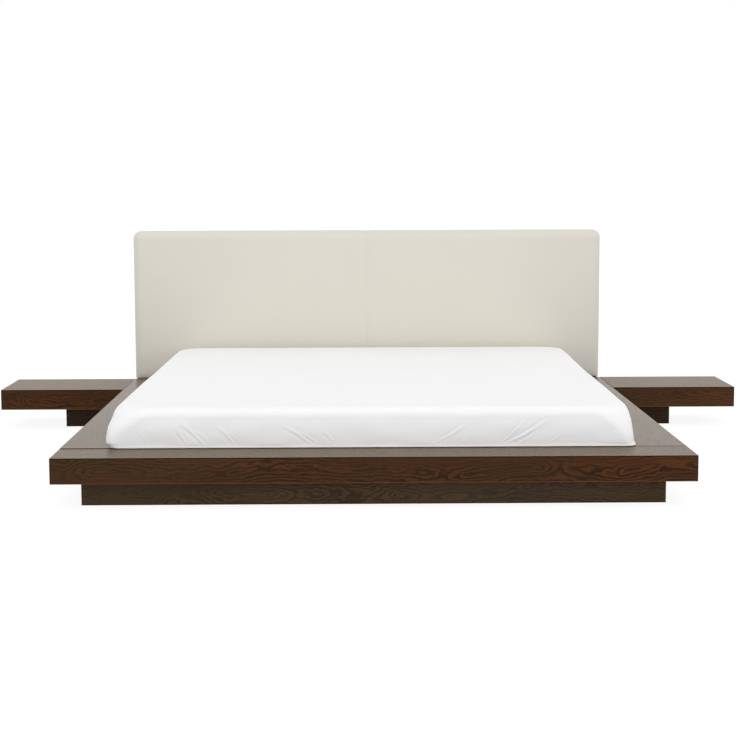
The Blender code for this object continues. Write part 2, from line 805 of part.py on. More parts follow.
def make_zip():
    middle = (BASE_WALL_TOP + HEM_FOOT) / 2
    foot = middle - CHAIN_HEIGHT / 2
    top = middle + CHAIN_HEIGHT / 2
    inner, outer = FIT, FIT + CHAIN_THICKNESS
    rings = [
        casing_ring(inner, foot),
        casing_ring(outer, foot),
        casing_ring(outer, top),
        casing_ring(inner, top),
    ]
    loft("zip_chain", rings, (0, ZONE_MID_Y, 0), "white_plastic", endless=True)

    wall_y = ZONE_MID_Y - WALL_Y
    chain_y = wall_y - outer
    face_y = chain_y - FIT - SLIDER_FACE
    half = SLIDER_LENGTH / 2
    x = SLIDER_START_INSET - WALL_X
    slider = box(
        "zip_slider",
        (x - half, face_y, foot - FIT - SLIDER_FLANGE),
        (x + half, wall_y - FIT, top + FIT + SLIDER_FLANGE),
        "steel",
    )
    channel = box(
        "slider_channel",
        (x - half - OVERRUN, chain_y - FIT, foot - FIT),
        (x + half + OVERRUN, wall_y, top + FIT),
    )
    cut(slider, channel)
    axis_y = face_y - EAR_REACH / 2
    for word, side in SIDES.items():
        ear_x = x + side * EAR_SPACING / 2
        ear = box(
            f"slider_ear_{word}",
            (ear_x - EAR_WIDTH / 2, face_y - EAR_REACH, top - EAR_HEIGHT),
            (ear_x + EAR_WIDTH / 2, face_y + SLIDER_FACE / 2, top),
        )
        join(slider, ear)
    axis_z = top - EAR_HEIGHT / 2
    reach = EAR_SPACING / 2 + EAR_WIDTH / 2 + OVERRUN
    hole = rod(
        "puller_pin_hole",
        (x - reach, axis_y, axis_z),
        X_AXIS,
        PIN_RADIUS + PIN_HOLE_GAP,
        2 * reach,
    )
    cut(slider, hole)
    put_on_pivot(slider, (x, wall_y, middle))

    puller = box(
        "zip_puller",
        (x - TAB_WIDTH / 2, axis_y - TAB_THICKNESS / 2, axis_z - TAB_LENGTH),
        (x + TAB_WIDTH / 2, axis_y + TAB_THICKNESS / 2, axis_z + TAB_THICKNESS / 2),
        "steel",
    )
    pin_reach = EAR_SPACING / 2 + EAR_WIDTH / 4
    pin = rod("puller_pin", (x - pin_reach, axis_y, axis_z), X_AXIS, PIN_RADIUS, 2 * pin_reach)
    join(puller, pin)
    put_on_pivot(puller, (x, axis_y, axis_z))


# Foam frame: the inner faces lean outwards, so each place across depends on the height
def foam_share(height):
    return (height - MAT_FOOT) / (FOAM_TOP - MAT_FOOT)


def foam_width(height):
    return FOAM_FOOT_WIDTH + (FOAM_TOP_WIDTH - FOAM_FOOT_WIDTH) * foam_share(height)


def divider_half(height):
    return DIVIDER_FOOT_HALF + (DIVIDER_TOP_HALF - DIVIDER_FOOT_HALF) * foam_share(height)


def make_foam():
    envelope = loft(
        "foam_envelope",
        [
            casing_ring(-FABRIC - FIT, MAT_FOOT - OVERRUN),
            casing_ring(-FABRIC - FIT, FOAM_TOP + OVERRUN),
        ],
        (0, ZONE_MID_Y, 0),
    )
    foot_y, head_y = ZONE_MID_Y - FOAM_Y, ZONE_MID_Y + FOAM_Y
    for word, side in SIDES.items():
        ends = []
        for width in (FOAM_FOOT_WIDTH, FOAM_TOP_WIDTH):
            inner, outer = sorted((side * (FOAM_X - width), side * (FOAM_X + OVERRUN)))
            ends.append((inner, outer, foot_y - OVERRUN, head_y + OVERRUN))
        piece = tapered(f"foam_side_{word}", *ends, MAT_FOOT, FOAM_TOP, "foam")
        combine(piece, envelope, "INTERSECT")
    for word, side in (("foot", -1), ("head", 1)):
        ends = []
        for width in (FOAM_FOOT_WIDTH, FOAM_TOP_WIDTH):
            reach = FOAM_X - width - FIT
            inner, outer = sorted(
                (ZONE_MID_Y + side * (FOAM_Y - width), ZONE_MID_Y + side * FOAM_Y)
            )
            ends.append((-reach, reach, inner, outer))
        tapered(f"foam_end_{word}", *ends, MAT_FOOT, FOAM_TOP, "foam")
    ends = []
    for height in (LINER_FOOT, FOAM_TOP):
        half = divider_half(height)
        reach = FOAM_Y - foam_width(height) - FIT
        ends.append((-half, half, ZONE_MID_Y - reach, ZONE_MID_Y + reach))
    tapered("foam_divider", *ends, LINER_FOOT, FOAM_TOP, "foam")


def hollow_rectangle(side, height, gap):
    """The plan of one side's hollow in the foam at a height, less a gap all round."""
    reach_y = FOAM_Y - foam_width(height) - gap
    near, far = divider_half(height) + gap, FOAM_X - foam_width(height) - gap
    ends = sorted((side * near, side * far))
    return (*ends, ZONE_MID_Y - reach_y, ZONE_MID_Y + reach_y)


# Heating, liners and water cores
def make_insulation():
    reach_x = FOAM_X - FOAM_FOOT_WIDTH - FIT
    reach_y = FOAM_Y - FOAM_FOOT_WIDTH - FIT
    mat = box(
        "insulation_mat",
        (-reach_x, ZONE_MID_Y - reach_y, MAT_FOOT),
        (reach_x, ZONE_MID_Y + reach_y, MAT_TOP),
        "felt",
    )
    pocket_foot = MAT_TOP - HEATER_POCKET
    half = HEATER_WIDTH / 2
    for word, side in SIDES.items():
        x = side * HEATER_X
        pocket = box(
            f"heater_pocket_{word}",
            (x - half - POCKET_MARGIN, HEATER_HEAD_Y - HEATER_LENGTH - POCKET_MARGIN, pocket_foot),
            (x + half + POCKET_MARGIN, HEATER_HEAD_Y + POCKET_MARGIN, MAT_TOP + OVERRUN),
        )
        groove_half = LEAD_RADIUS + LEAD_GROOVE
        groove = box(
            f"lead_groove_{word}",
            (x - groove_half, HEATER_HEAD_Y - OVERRUN, LEAD_TOP_Z - LEAD_RADIUS - FIT),
            (x + groove_half, LEAD_DROP_Y, MAT_TOP + OVERRUN),
        )
        cut(mat, pocket, groove, DROP_CUTTERS[word])
        heater = box(
            f"heater_mat_{word}",
            (x - half, HEATER_HEAD_Y - HEATER_LENGTH, HEATER_FOOT),
            (x + half, HEATER_HEAD_Y, HEATER_FOOT + HEATER_THICKNESS),
            "heater_film",
        )
        soften(heater, HEATER_THICKNESS / 3)


def make_liner(word, side):
    """A thin open tray between the foam and the water core."""
    rim = FOAM_TOP - LINER_RIM_DROP
    tray = tapered(
        f"safety_liner_{word}",
        hollow_rectangle(side, LINER_FOOT, FIT),
        hollow_rectangle(side, rim, FIT),
        LINER_FOOT,
        rim,
        "clear_liner",
    )
    bm = bmesh.new()
    bm.from_mesh(tray.data)
    lid = [face for face in bm.faces if face.normal.z > 1 / 2]
    bmesh.ops.delete(bm, geom=lid, context="FACES_ONLY")
    bm.to_mesh(tray.data)
    bm.free()
    wall = tray.modifiers.new("wall", "SOLIDIFY")
    wall.thickness = LINER
    wall.offset = -1
    wall.use_even_offset = True


def make_core(word, side):
    gap = 2 * FIT + LINER * 1.2
    core = tapered(
        f"water_core_{word}",
        hollow_rectangle(side, CORE_FOOT, gap),
        hollow_rectangle(side, FOAM_TOP, gap),
        CORE_FOOT,
        FOAM_TOP,
        "vinyl",
    )
    valve = (side * VALVE_X, VALVE_Y, FOAM_TOP)
    neck = rod(
        f"valve_neck_{word}",
        (valve[0], valve[1], FOAM_TOP - OVERRUN),
        Z_AXIS,
        NECK_RADIUS,
        NECK_HEIGHT + OVERRUN,
    )
    join(core, neck)

    bore = NECK_RADIUS + FIT
    bore_top = NECK_HEIGHT + FIT
    profile = [
        (0, CAP_HEIGHT),
        (CAP_RADIUS - CAP_EDGE, CAP_HEIGHT),
        (CAP_RADIUS, CAP_HEIGHT - CAP_EDGE),
        (CAP_RADIUS, FIT),
        (bore, FIT),
        (bore, bore_top),
        (0, bore_top),
    ]
    cap = turned(f"valve_cap_{word}", profile, valve, Z_AXIS, "white_plastic")
    low = Vector((-CAP_BAR_LENGTH / 2, -CAP_BAR_WIDTH / 2, CAP_HEIGHT - CAP_EDGE))
    high = Vector((CAP_BAR_LENGTH / 2, CAP_BAR_WIDTH / 2, CAP_HEIGHT + CAP_BAR_HEIGHT))
    join(cap, box(f"cap_bar_{word}", Vector(valve) + low, Vector(valve) + high))
    put_on_pivot(cap, valve)


# Heater controllers
def make_controller(word, side):
    outward = side * X_AXIS
    case = mirrored_box(
        f"control_case_{word}",
        side,
        (CASE_OUTER_X - CASE_WIDTH, CASE_FRONT_Y, CASE_TOP - CASE_HEIGHT),
        (CASE_OUTER_X, CASE_BACK_Y, CASE_TOP),
        "black_plastic",
    )
    soften(case, CASE_EDGE, 2)
    middle_x = side * (CASE_OUTER_X - CASE_WIDTH / 2)
    ears = box(
        f"case_ears_{word}",
        (
            middle_x - EAR_PLATE_WIDTH / 2,
            CASE_FRONT_Y - EAR_PLATE_REACH,
            CASE_TOP - EAR_PLATE_THICKNESS,
        ),
        (middle_x + EAR_PLATE_WIDTH / 2, CASE_BACK_Y + EAR_PLATE_REACH, CASE_TOP),
    )
    gland_profile = [
        (0, GLAND_LENGTH - GLAND_DIMPLE),
        (GLAND_DIMPLE_RADIUS, GLAND_LENGTH - GLAND_DIMPLE),
        (GLAND_DIMPLE_RADIUS, GLAND_LENGTH),
        (GLAND_TIP_RADIUS, GLAND_LENGTH),
        (GLAND_RADIUS, GLAND_LENGTH / 2),
        (GLAND_RADIUS, -OVERRUN),
        (0, -OVERRUN),
    ]
    gland_place = (side * (CASE_OUTER_X - CASE_WIDTH / 4), CASE_BACK_Y, CASE_MID_Z)
    join(case, ears, turned(f"mains_gland_{word}", gland_profile, gland_place, Y_AXIS))

    dial_place = (side * CASE_OUTER_X, CASE_FRONT_Y + DIAL_FRONT_INSET, CASE_MID_Z)
    socket = rod(
        f"dial_socket_{word}",
        Vector(dial_place) + outward * OVERRUN,
        -outward,
        DIAL_SHAFT_RADIUS + FIT,
        DIAL_SHAFT_LENGTH + FIT + OVERRUN,
    )
    profile = [
        (0, DIAL_HEIGHT),
        (DIAL_RADIUS - DIAL_EDGE, DIAL_HEIGHT),
        (DIAL_RADIUS, DIAL_HEIGHT - DIAL_EDGE),
        (DIAL_RADIUS, FIT),
        (DIAL_SHAFT_RADIUS, FIT),
        (DIAL_SHAFT_RADIUS, -DIAL_SHAFT_LENGTH),
        (0, -DIAL_SHAFT_LENGTH),
    ]
    dial = turned(f"control_dial_{word}", profile, dial_place, outward, "white_plastic")
    face_x = CASE_OUTER_X + DIAL_HEIGHT
    pointer = mirrored_box(
        f"dial_pointer_{word}",
        side,
        (face_x - DIAL_EDGE, dial_place[1] - POINTER_WIDTH / 2, CASE_MID_Z),
        (face_x + POINTER_HEIGHT, dial_place[1] + POINTER_WIDTH / 2, CASE_MID_Z + POINTER_LENGTH),
    )
    join(dial, pointer)
    put_on_pivot(dial, dial_place)

    rocker_y = CASE_FRONT_Y + ROCKER_FRONT_INSET
    rocker_place = Vector((side * (CASE_OUTER_X - ROCKER_SINK), rocker_y, CASE_MID_Z))
    half = ROCKER_WIDTH / 2
    well = rod(
        f"rocker_well_{word}",
        rocker_place - Y_AXIS * (half + FIT),
        Y_AXIS,
        ROCKER_RADIUS + FIT,
        ROCKER_WIDTH + 2 * FIT,
    )
    cut(case, socket, well)
    rocker = rod(
        f"control_switch_{word}",
        rocker_place - Y_AXIS * half,
        Y_AXIS,
        ROCKER_RADIUS,
        ROCKER_WIDTH,
        "black_plastic",
    )
    ridge_x = CASE_OUTER_X - ROCKER_SINK + ROCKER_RADIUS
    ridge = mirrored_box(
        f"rocker_ridge_{word}",
        side,
        (ridge_x - 2 * RIDGE_HEIGHT, rocker_y - half / 2, CASE_MID_Z - RIDGE_WIDTH / 2),
        (ridge_x + RIDGE_HEIGHT, rocker_y + half / 2, CASE_MID_Z + RIDGE_WIDTH / 2),
    )
    join(rocker, ridge)
    shade_round(rocker)
    pivot = bpy.data.objects.new(f"control_switch_{word}_pivot", None)
    pivot.location = rocker_place
    pivot.rotation_euler = (0, math.radians(ROCKER_TILT_DEGREES) * side, 0)
    PARTS.objects.link(pivot)
    for piece in (rocker, ridge):
        piece.parent = pivot
        piece.location = piece.location - rocker_place


def lead_route(side):
    """The lead's points: along the mat, down through the deck, then out to the controller."""
    x = HEATER_X
    run = LEAD_RUN_Y
    drop = LEAD_DROP_Y
    low_z = CASE_MID_Z
    bend = LEAD_BEND
    part_bend = LEAD_BEND * (1 - math.sqrt(1 / 2))
    right = [
        (x, HEATER_HEAD_Y + FIT, LEAD_TOP_Z),
        (x, (HEATER_HEAD_Y + drop) / 2, LEAD_TOP_Z),
        (x, drop - 2 * bend, LEAD_TOP_Z),
        (x, drop - bend, LEAD_TOP_Z),
        (x, drop - part_bend, LEAD_TOP_Z - part_bend),
        (x, drop, LEAD_TOP_Z - bend),
        (x, drop, low_z + bend),
        (x, drop + part_bend, low_z + part_bend),
        (x, drop + bend, low_z),
        (x, (drop + run) / 2, low_z),
        (x, run - bend, low_z),
        (x + part_bend, run - part_bend, low_z),
        (x + bend, run, low_z),
        (LONG_BEARER_X, run, low_z),
        ((LONG_BEARER_X + PLINTH_INNER_X) / 2, run, low_z),
        (PLINTH_OUTER_X, run, low_z),
        (STAND_END_X, run, low_z),
        (CASE_OUTER_X - CASE_WIDTH - FIT, run, low_z),
    ]
    return [Vector((side * px, py, pz)) for px, py, pz in right]


def smooth_route(points, steps):
    """A centripetal curve through the points, with its steps between each two of them."""
    first = 2 * points[0] - points[1]
    last = 2 * points[-1] - points[-2]
    padded = [first, *points, last]
    route = []
    for before, start, end, after in zip(padded, padded[1:], padded[2:], padded[3:]):
        gaps = [(b - a).length ** 0.5 for a, b in ((before, start), (start, end), (end, after))]
        t1 = gaps[0]
        t2 = t1 + gaps[1]
        t3 = t2 + gaps[2]
        for step in range(steps):
            t = t1 + (t2 - t1) * step / steps
            a1 = before.lerp(start, t / t1)
            a2 = start.lerp(end, (t - t1) / (t2 - t1))
            a3 = end.lerp(after, (t - t2) / (t3 - t2))
            b1 = a1.lerp(a2, t / t2)
            b2 = a2.lerp(a3, (t - t1) / (t3 - t1))
            route.append(b1.lerp(b2, (t - t1) / (t2 - t1)))
    route.append(points[-1])
    return route


def make_lead(word, side):
    curve = bpy.data.curves.new(f"heater_lead_{word}", "CURVE")
    curve.dimensions = "3D"
    curve.bevel_depth = LEAD_RADIUS
    curve.bevel_resolution = 2
    curve.use_fill_caps = True
    points = smooth_route(lead_route(side), LEAD_STEPS)
    spline = curve.splines.new("POLY")
    spline.points.add(len(points) - 1)
    for target, point in zip(spline.points, points):
        target.co = (*point, 1)
    place(f"heater_lead_{word}", curve, (0, 0, 0), "black_rubber")


def lead_cutter(word, side):
    """One straight hole for the lead through the bearer and both plinths."""
    start_x = LONG_BEARER_X - BOARD / 2 - OVERRUN
    start = (side * start_x, LEAD_RUN_Y, CASE_MID_Z)
    length = STAND_END_X + OVERRUN - start_x
    return rod(f"lead_hole_{word}", start, side * X_AXIS, LEAD_HOLE_RADIUS, length)


def drop_cutter(word, side):
    """The hole where the lead goes down through the mat, the base cover and the deck."""
    foot = PLINTH_HEIGHT - OVERRUN
    start = (side * HEATER_X, LEAD_DROP_Y - LEAD_BEND / 2, foot)
    return rod(f"lead_drop_{word}", start, Z_AXIS, LEAD_DROP_RADIUS, MAT_TOP + OVERRUN - foot)


clear_scene()
PARTS = new_collection("waterbed")
CUTTERS = new_collection("cutters")
CUTTERS.hide_render = True
LEAD_CUTTERS = {word: lead_cutter(word, side) for word, side in SIDES.items()}
DROP_CUTTERS = {word: drop_cutter(word, side) for word, side in SIDES.items()}
make_rails()
make_plinth()
make_bearers()
make_deck()
make_corner_plates()
make_headboard()
make_base_cover()
make_top_cover()
make_zip()
make_foam()
make_insulation()
for side_word, side_sign in SIDES.items():
    make_nightstand(side_word, side_sign)
    make_liner(side_word, side_sign)
    make_core(side_word, side_sign)
    make_controller(side_word, side_sign)
    make_lead(side_word, side_sign)
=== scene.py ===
"""Looks of the low platform waterbed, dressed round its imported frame. Metres, +Z up."""

import math
import random

import bmesh
import bpy
import numpy as np
from mathutils import Matrix, Vector


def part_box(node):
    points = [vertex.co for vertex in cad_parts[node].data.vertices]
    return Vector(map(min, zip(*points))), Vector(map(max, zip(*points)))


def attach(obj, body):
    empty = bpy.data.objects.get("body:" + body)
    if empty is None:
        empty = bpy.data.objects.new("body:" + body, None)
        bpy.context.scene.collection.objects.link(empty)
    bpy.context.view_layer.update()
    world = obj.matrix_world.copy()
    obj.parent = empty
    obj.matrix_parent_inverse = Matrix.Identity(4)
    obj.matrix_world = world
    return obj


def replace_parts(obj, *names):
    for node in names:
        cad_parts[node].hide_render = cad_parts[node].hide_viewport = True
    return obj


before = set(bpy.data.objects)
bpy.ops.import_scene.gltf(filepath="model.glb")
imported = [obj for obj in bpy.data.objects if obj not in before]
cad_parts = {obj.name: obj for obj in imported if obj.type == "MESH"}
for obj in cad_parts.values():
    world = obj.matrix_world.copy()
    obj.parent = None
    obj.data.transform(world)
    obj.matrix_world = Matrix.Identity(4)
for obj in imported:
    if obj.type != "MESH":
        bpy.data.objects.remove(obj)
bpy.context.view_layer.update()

SIDES = {"left": -1, "right": 1}
PLATFORM = "platform"
MERGE = 0.00001
QUARTER = math.pi / 2

# Mattress casing, from its wall below the rails' tops
COVER_LOW, COVER_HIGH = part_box("top_cover")
SOLID_BULGE = 0.023
WALL_X = COVER_HIGH.x - SOLID_BULGE
WALL_Y = (COVER_HIGH.y - COVER_LOW.y) / 2 - SOLID_BULGE
MID_Y = (COVER_HIGH.y + COVER_LOW.y) / 2
SPINE = WALL_Y - WALL_X
WALL_CORNER = 0.045
CASING_STEPS = (190, 170, 190, 620)
FABRIC = 0.0047
LINING_DEPTH = 0.014
HEM_HEIGHT = 0.0145
ROLL_OUT = 0.024
ROLL_HEIGHT = 0.0125
ROLL_TOP = COVER_LOW.z + HEM_HEIGHT + ROLL_HEIGHT
BULGE_OUT = 0.0015
LEAN_IN = 0.006
EDGE_LEAN = math.radians(5)
EDGE_IN = 0.044
EDGE_UP = 0.040
FOOT_CORNER = 0.036
EDGE_CORNER = 0.165
HEAD_CORNER = 0.095
CROWN = 0.003
HEAD_RISE = 0.011
WELT_OUT = 0.0012
WELT_RISE = 0.0030
LEFT_DRIFT = ((-0.95, -0.016), (-0.15, 0.0), (0.33, 0.011), (0.9, 0.029), (1.03, 0.033))
RIGHT_DRIFT = ((-0.95, -0.006), (-0.3, 0.0))
COVER_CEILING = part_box("foam_divider")[1].z + 0.0003
FOAM_SLACK = 0.0008
POCKET_RADIUS = 0.023
POCKET_DEPTH = 0.0155
CROWN_SHARES = (0.02, 0.045, 0.08, 0.13, 0.19, 0.26, 0.34, 0.43, 0.53, 0.63, 0.74, 0.86, 1)
FLOOR_SHARES = (0.08, 0.2, 0.4, 0.7, 1)

# Creases of the cover's foot side, as x and z of both ends, then half width and depth
FOOT_CREASES = (
    (-0.640, 0.256, -0.572, 0.184, 0.0039, 0.0015),
    (-0.668, 0.244, -0.630, 0.184, 0.0033, 0.0011),
    (-0.606, 0.238, -0.548, 0.188, 0.0031, 0.0008),
    (-0.520, 0.246, -0.470, 0.186, 0.0041, 0.0010),
    (-0.494, 0.232, -0.452, 0.190, 0.0030, 0.0007),
    (-0.300, 0.250, -0.212, 0.186, 0.0039, 0.0011),
    (-0.258, 0.232, -0.186, 0.186, 0.0031, 0.0007),
    (-0.170, 0.232, -0.135, 0.188, 0.0031, 0.0008),
    (-0.790, 0.230, -0.764, 0.190, 0.0047, 0.0006),
    (0.535, 0.280, 0.440, 0.190, 0.0037, 0.0012),
    (0.592, 0.262, 0.460, 0.190, 0.0041, 0.0017),
    (0.566, 0.232, 0.500, 0.188, 0.0031, 0.0008),
    (0.322, 0.258, 0.214, 0.194, 0.0039, 0.0011),
    (0.338, 0.222, 0.298, 0.188, 0.0031, 0.0009),
    (0.645, 0.220, 0.606, 0.190, 0.0035, 0.0009),
    (0.770, 0.240, 0.732, 0.190, 0.0051, 0.0006),
)

# Zip
TAPE = (0.0002, 0.0009)
CHAIN_CORE = (0.0004, 0.0010)
TAPE_LAP = 0.001
TAPE_REACH = 0.010
TOOTH_PITCH = 0.005
TOOTH_HALF = Vector((0.0021, 0.0012, 0.0017))
TOOTH_OUT = 0.0019
TOOTH_STAGGER = 0.0016

# Side rails stand a hair proud of the front rail, the left one more
PROUD = {"side_rail_left": 0.0015, "side_rail_right": 0.0005}

# Headboard
PAD_LOW, PAD_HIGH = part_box("headboard_pad")
PAD_ROUND = 0.036
PAD_ROUND_DEPTH = 0.034
PAD_FOOT_ROUND = 0.034
PAD_FOOT_DEPTH = 0.009
PAD_SWELL = 0.004
SEAM_DIP = 0.0018
SEAM_SPREAD = 0.0036
VALLEY_DIP = 0.0016
VALLEY_SPREAD = 0.022
PUCKER_DIP = 0.00035
PUCKER_SPREAD = 0.010
STITCH_PITCH = 0.012
BOARD_CORNER = 0.031
TURN_THICK = 0.0011
TURN_IN = 0.030
STAPLE_PITCH = 0.055
STAPLE_INSET = 0.018
LINING_INSET = 0.040
LINING_HEM = 0.014

# Leads and their clips
LEAD_X = 0.40
LEAD_RADIUS = 0.0025
LEAD_BEND = 0.020
LEAD_TOP_Z = 0.1168
LEAD_LOW_Z = 0.0712
LEAD_START_Y = 0.6003
LEAD_DROP_Y = 0.820
LEAD_RUN_Y = 0.940
LEAD_END_X = 1.4097
LEAD_HOLE = 0.016
CLIP_X = (0.56, 0.82, 1.20)
CLIP_HALF = 0.0135
CLIP_WIDE = 0.009
CLIP_THICK = 0.0010
CLIP_PLAY = 0.0004
CLIP_SCREW_IN = 0.0045

# Radius and height of screw heads
CLIP_SCREW = (0.0030, 0.0018)
EAR_SCREW = (0.0034, 0.0022)
CORNER_SCREW = (0.0050, 0.0028)

# Controllers and corner plates
EAR_THICK = 0.003
EAR_SCREW_IN = 0.006
PLATE_SCREW_IN = (0.015, 0.018)
PANEL_X = 1.56
DIAL_Y = 0.955
LAMP_Y = 1.006
DIAL_MARKS = 11
DIAL_SWEEP = 270

# Floor and lights; a sun has a strength, a width in degrees and the way it comes from
FLOOR_SIZE = 60
FLOOR_LIT = 0.80
FLOOR_SEEN = 0.16
FLOOR_GLOW = 0.90
SKY_LEVEL = 0.95
SUNS = {"key": (0.16, 50, (0.45, -0.45, 1.0)), "fill": (0.97, 60, (0.14, -1.0, 0.08))}

# Photograph's camera, fitted to the corners of the frame and the mattress
CAMERA_PLACE = (-0.07619, -6.6123, 1.09029)
CAMERA_YAW = 0.01023
CAMERA_PITCH = 0.11249
CAMERA_ROLL = -0.00333
CAMERA_LENS = 81.3455
CAMERA_SENSOR = 36


# Node materials
class Wiring:
    """A node tree being wired; its methods give output sockets."""

    def __init__(self, tree):
        self.tree = tree

    def node(self, kind, values=None, **settings):
        made = self.tree.nodes.new(kind)
        for key, value in settings.items():
            setattr(made, key, value)
        for key, value in (values or {}).items():
            self.feed(made.inputs[key], value)
        return made

    def feed(self, socket, value):
        """Links a socket or sets it; a colour is given as red, green and blue."""
        if isinstance(value, bpy.types.NodeSocket):
            self.tree.links.new(value, socket)
        else:
            socket.default_value = (*value, 1) if socket.type == "RGBA" else value

    def math(self, operation, first, second=0.0):
        return self.node("ShaderNodeMath", {0: first, 1: second}, operation=operation).outputs[0]


class Graph(Wiring):
    """A material on the principled shader."""

    def __init__(self, name):
        self.material = bpy.data.materials.new(name)
        self.material.use_nodes = True
        super().__init__(self.material.node_tree)
        self.shader = self.tree.nodes["Principled BSDF"]
        self.spot = self.node("ShaderNodeTexCoord")
        self.place = self.spot.outputs["Object"]

    def total(self, first, *others):
        for other in others:
            first = self.math("ADD", first, other)
        return first

    def product(self, first, *others):
        for other in others:
            first = self.math("MULTIPLY", first, other)
        return first

    def less(self, first, second):
        return self.math("SUBTRACT", first, second)

    def size(self, value):
        return self.math("ABSOLUTE", value)

    def part(self, value):
        return self.math("FRACT", value)

    def split(self, vector):
        return self.node("ShaderNodeSeparateXYZ", {0: vector}).outputs

    def point(self, x, y, z=0.0):
        return self.node("ShaderNodeCombineXYZ", {0: x, 1: y, 2: z}).outputs[0]

    def stretch(self, vector, scale, shift=(0, 0, 0)):
        values = {"Vector": vector, "Scale": scale, "Location": shift}
        return self.node("ShaderNodeMapping", values).outputs[0]

    def noise(self, vector, scale=1.0, detail=2.0, roughness=0.5):
        values = {"Vector": vector, "Scale": scale, "Detail": detail, "Roughness": roughness}
        return self.node("ShaderNodeTexNoise", values).outputs[0]

    def cells(self, vector, scale, feature="F1"):
        values = {"Vector": vector, "Scale": scale}
        return self.node("ShaderNodeTexVoronoi", values, feature=feature).outputs["Distance"]

    def facing(self, index):
        """1 on faces whose normal lies along the axis with this index."""
        normal = self.split(self.spot.outputs["Normal"])[index]
        return self.math("GREATER_THAN", self.size(normal), 0.7)

    def choose(self, factor, first, second):
        return self.node("ShaderNodeMix", {0: factor, 2: first, 3: second}).outputs[0]

    def mix(self, factor, first, second):
        values = {0: factor, 6: first, 7: second}
        return self.node("ShaderNodeMix", values, data_type="RGBA").outputs[2]

    def ramp(self, factor, stops):
        node = self.node("ShaderNodeValToRGB", {0: factor})
        elements = node.color_ramp.elements
        while len(elements) < len(stops):
            elements.new(0.5)
        for element, (position, colour) in zip(elements, stops):
            element.position = position
            element.color = (*colour, 1)
        return node.outputs[0]

    def rise(self, factor, start, end, low=0.0, high=1.0):
        """A ramp that goes from low to high between two values."""
        return self.ramp(factor, ((start, grey(low)), (end, grey(high))))

    def scaled(self, value, low, high):
        """A value from 0 to 1, taken to run from low to high."""
        return self.node("ShaderNodeMapRange", {0: value, 3: low, 4: high}).outputs[0]

    def relief(self, height, distance, strength=1.0):
        values = {"Height": height, "Distance": distance, "Strength": strength}
        return self.node("ShaderNodeBump", values).outputs[0]

    def done(self, **sockets):
        for key, value in sockets.items():
            self.feed(self.shader.inputs[key.replace("_", " ")], value)
        return self.material


def grey(level):
    return (level, level, level)


def shaded(colour, share):
    return tuple(part * share for part in colour)


# Painted sheen: level tops take lighter, yellower tones than the sides, standing in for their grazing
# reflection
SHEEN_TOP_DARK, SHEEN_TOP_LIGHT = (0.021, 0.0110, 0.0040), (0.098, 0.044, 0.0125)
RING_STOPS = ((0, 0.05), (0.10, 0), (0.34, 0.6), (0.62, 1), (0.90, 0.8), (1, 0.05))


def year_rings(g, s, t, layer, rings):
    """A cone of year rings cut near its heart, so that arches and islands show."""
    s_slow = g.product(s, 2.3)
    depth = g.scaled(g.noise(g.point(s_slow, layer), detail=3), -0.11, 0.11)
    heart = g.scaled(g.noise(g.point(s_slow, layer, 5.0), detail=0), -0.06, 0.06)
    offset = g.point(depth, g.less(t, heart))
    radius = g.node("ShaderNodeVectorMath", {0: offset}, operation="LENGTH").outputs["Value"]
    flat = g.point(s, t, layer)
    sway = g.scaled(g.noise(g.stretch(flat, (6, 20, 1))), -0.020, 0.020)
    jag = g.scaled(g.noise(g.stretch(flat, (30, 60, 1)), detail=2), -0.007, 0.007)
    ring = g.part(g.product(g.total(radius, sway, jag), rings))
    width = g.noise(g.stretch(flat, (2.1, 14, 1), (9, 2, 0)), detail=1)
    tone = g.ramp(ring, [(position, grey(level)) for position, level in RING_STOPS])
    return flat, g.math("POWER", tone, g.rise(width, 0.35, 0.65, 0.5, 2.4))


def arris_distance(g, low, high):
    """How near the closest arris is: the middle one of the distances to the box's faces."""
    middle = (low + high) / 2
    gaps = []
    for index, part in enumerate(g.split(g.place)):
        reach = g.size(g.less(part, middle[index]))
        gaps.append(g.less((high[index] - low[index]) / 2, reach))
    least = g.math("MINIMUM", g.math("MINIMUM", gaps[0], gaps[1]), gaps[2])
    most = g.math("MAXIMUM", g.math("MAXIMUM", gaps[0], gaps[1]), gaps[2])
    return g.less(g.less(g.total(*gaps), least), most)


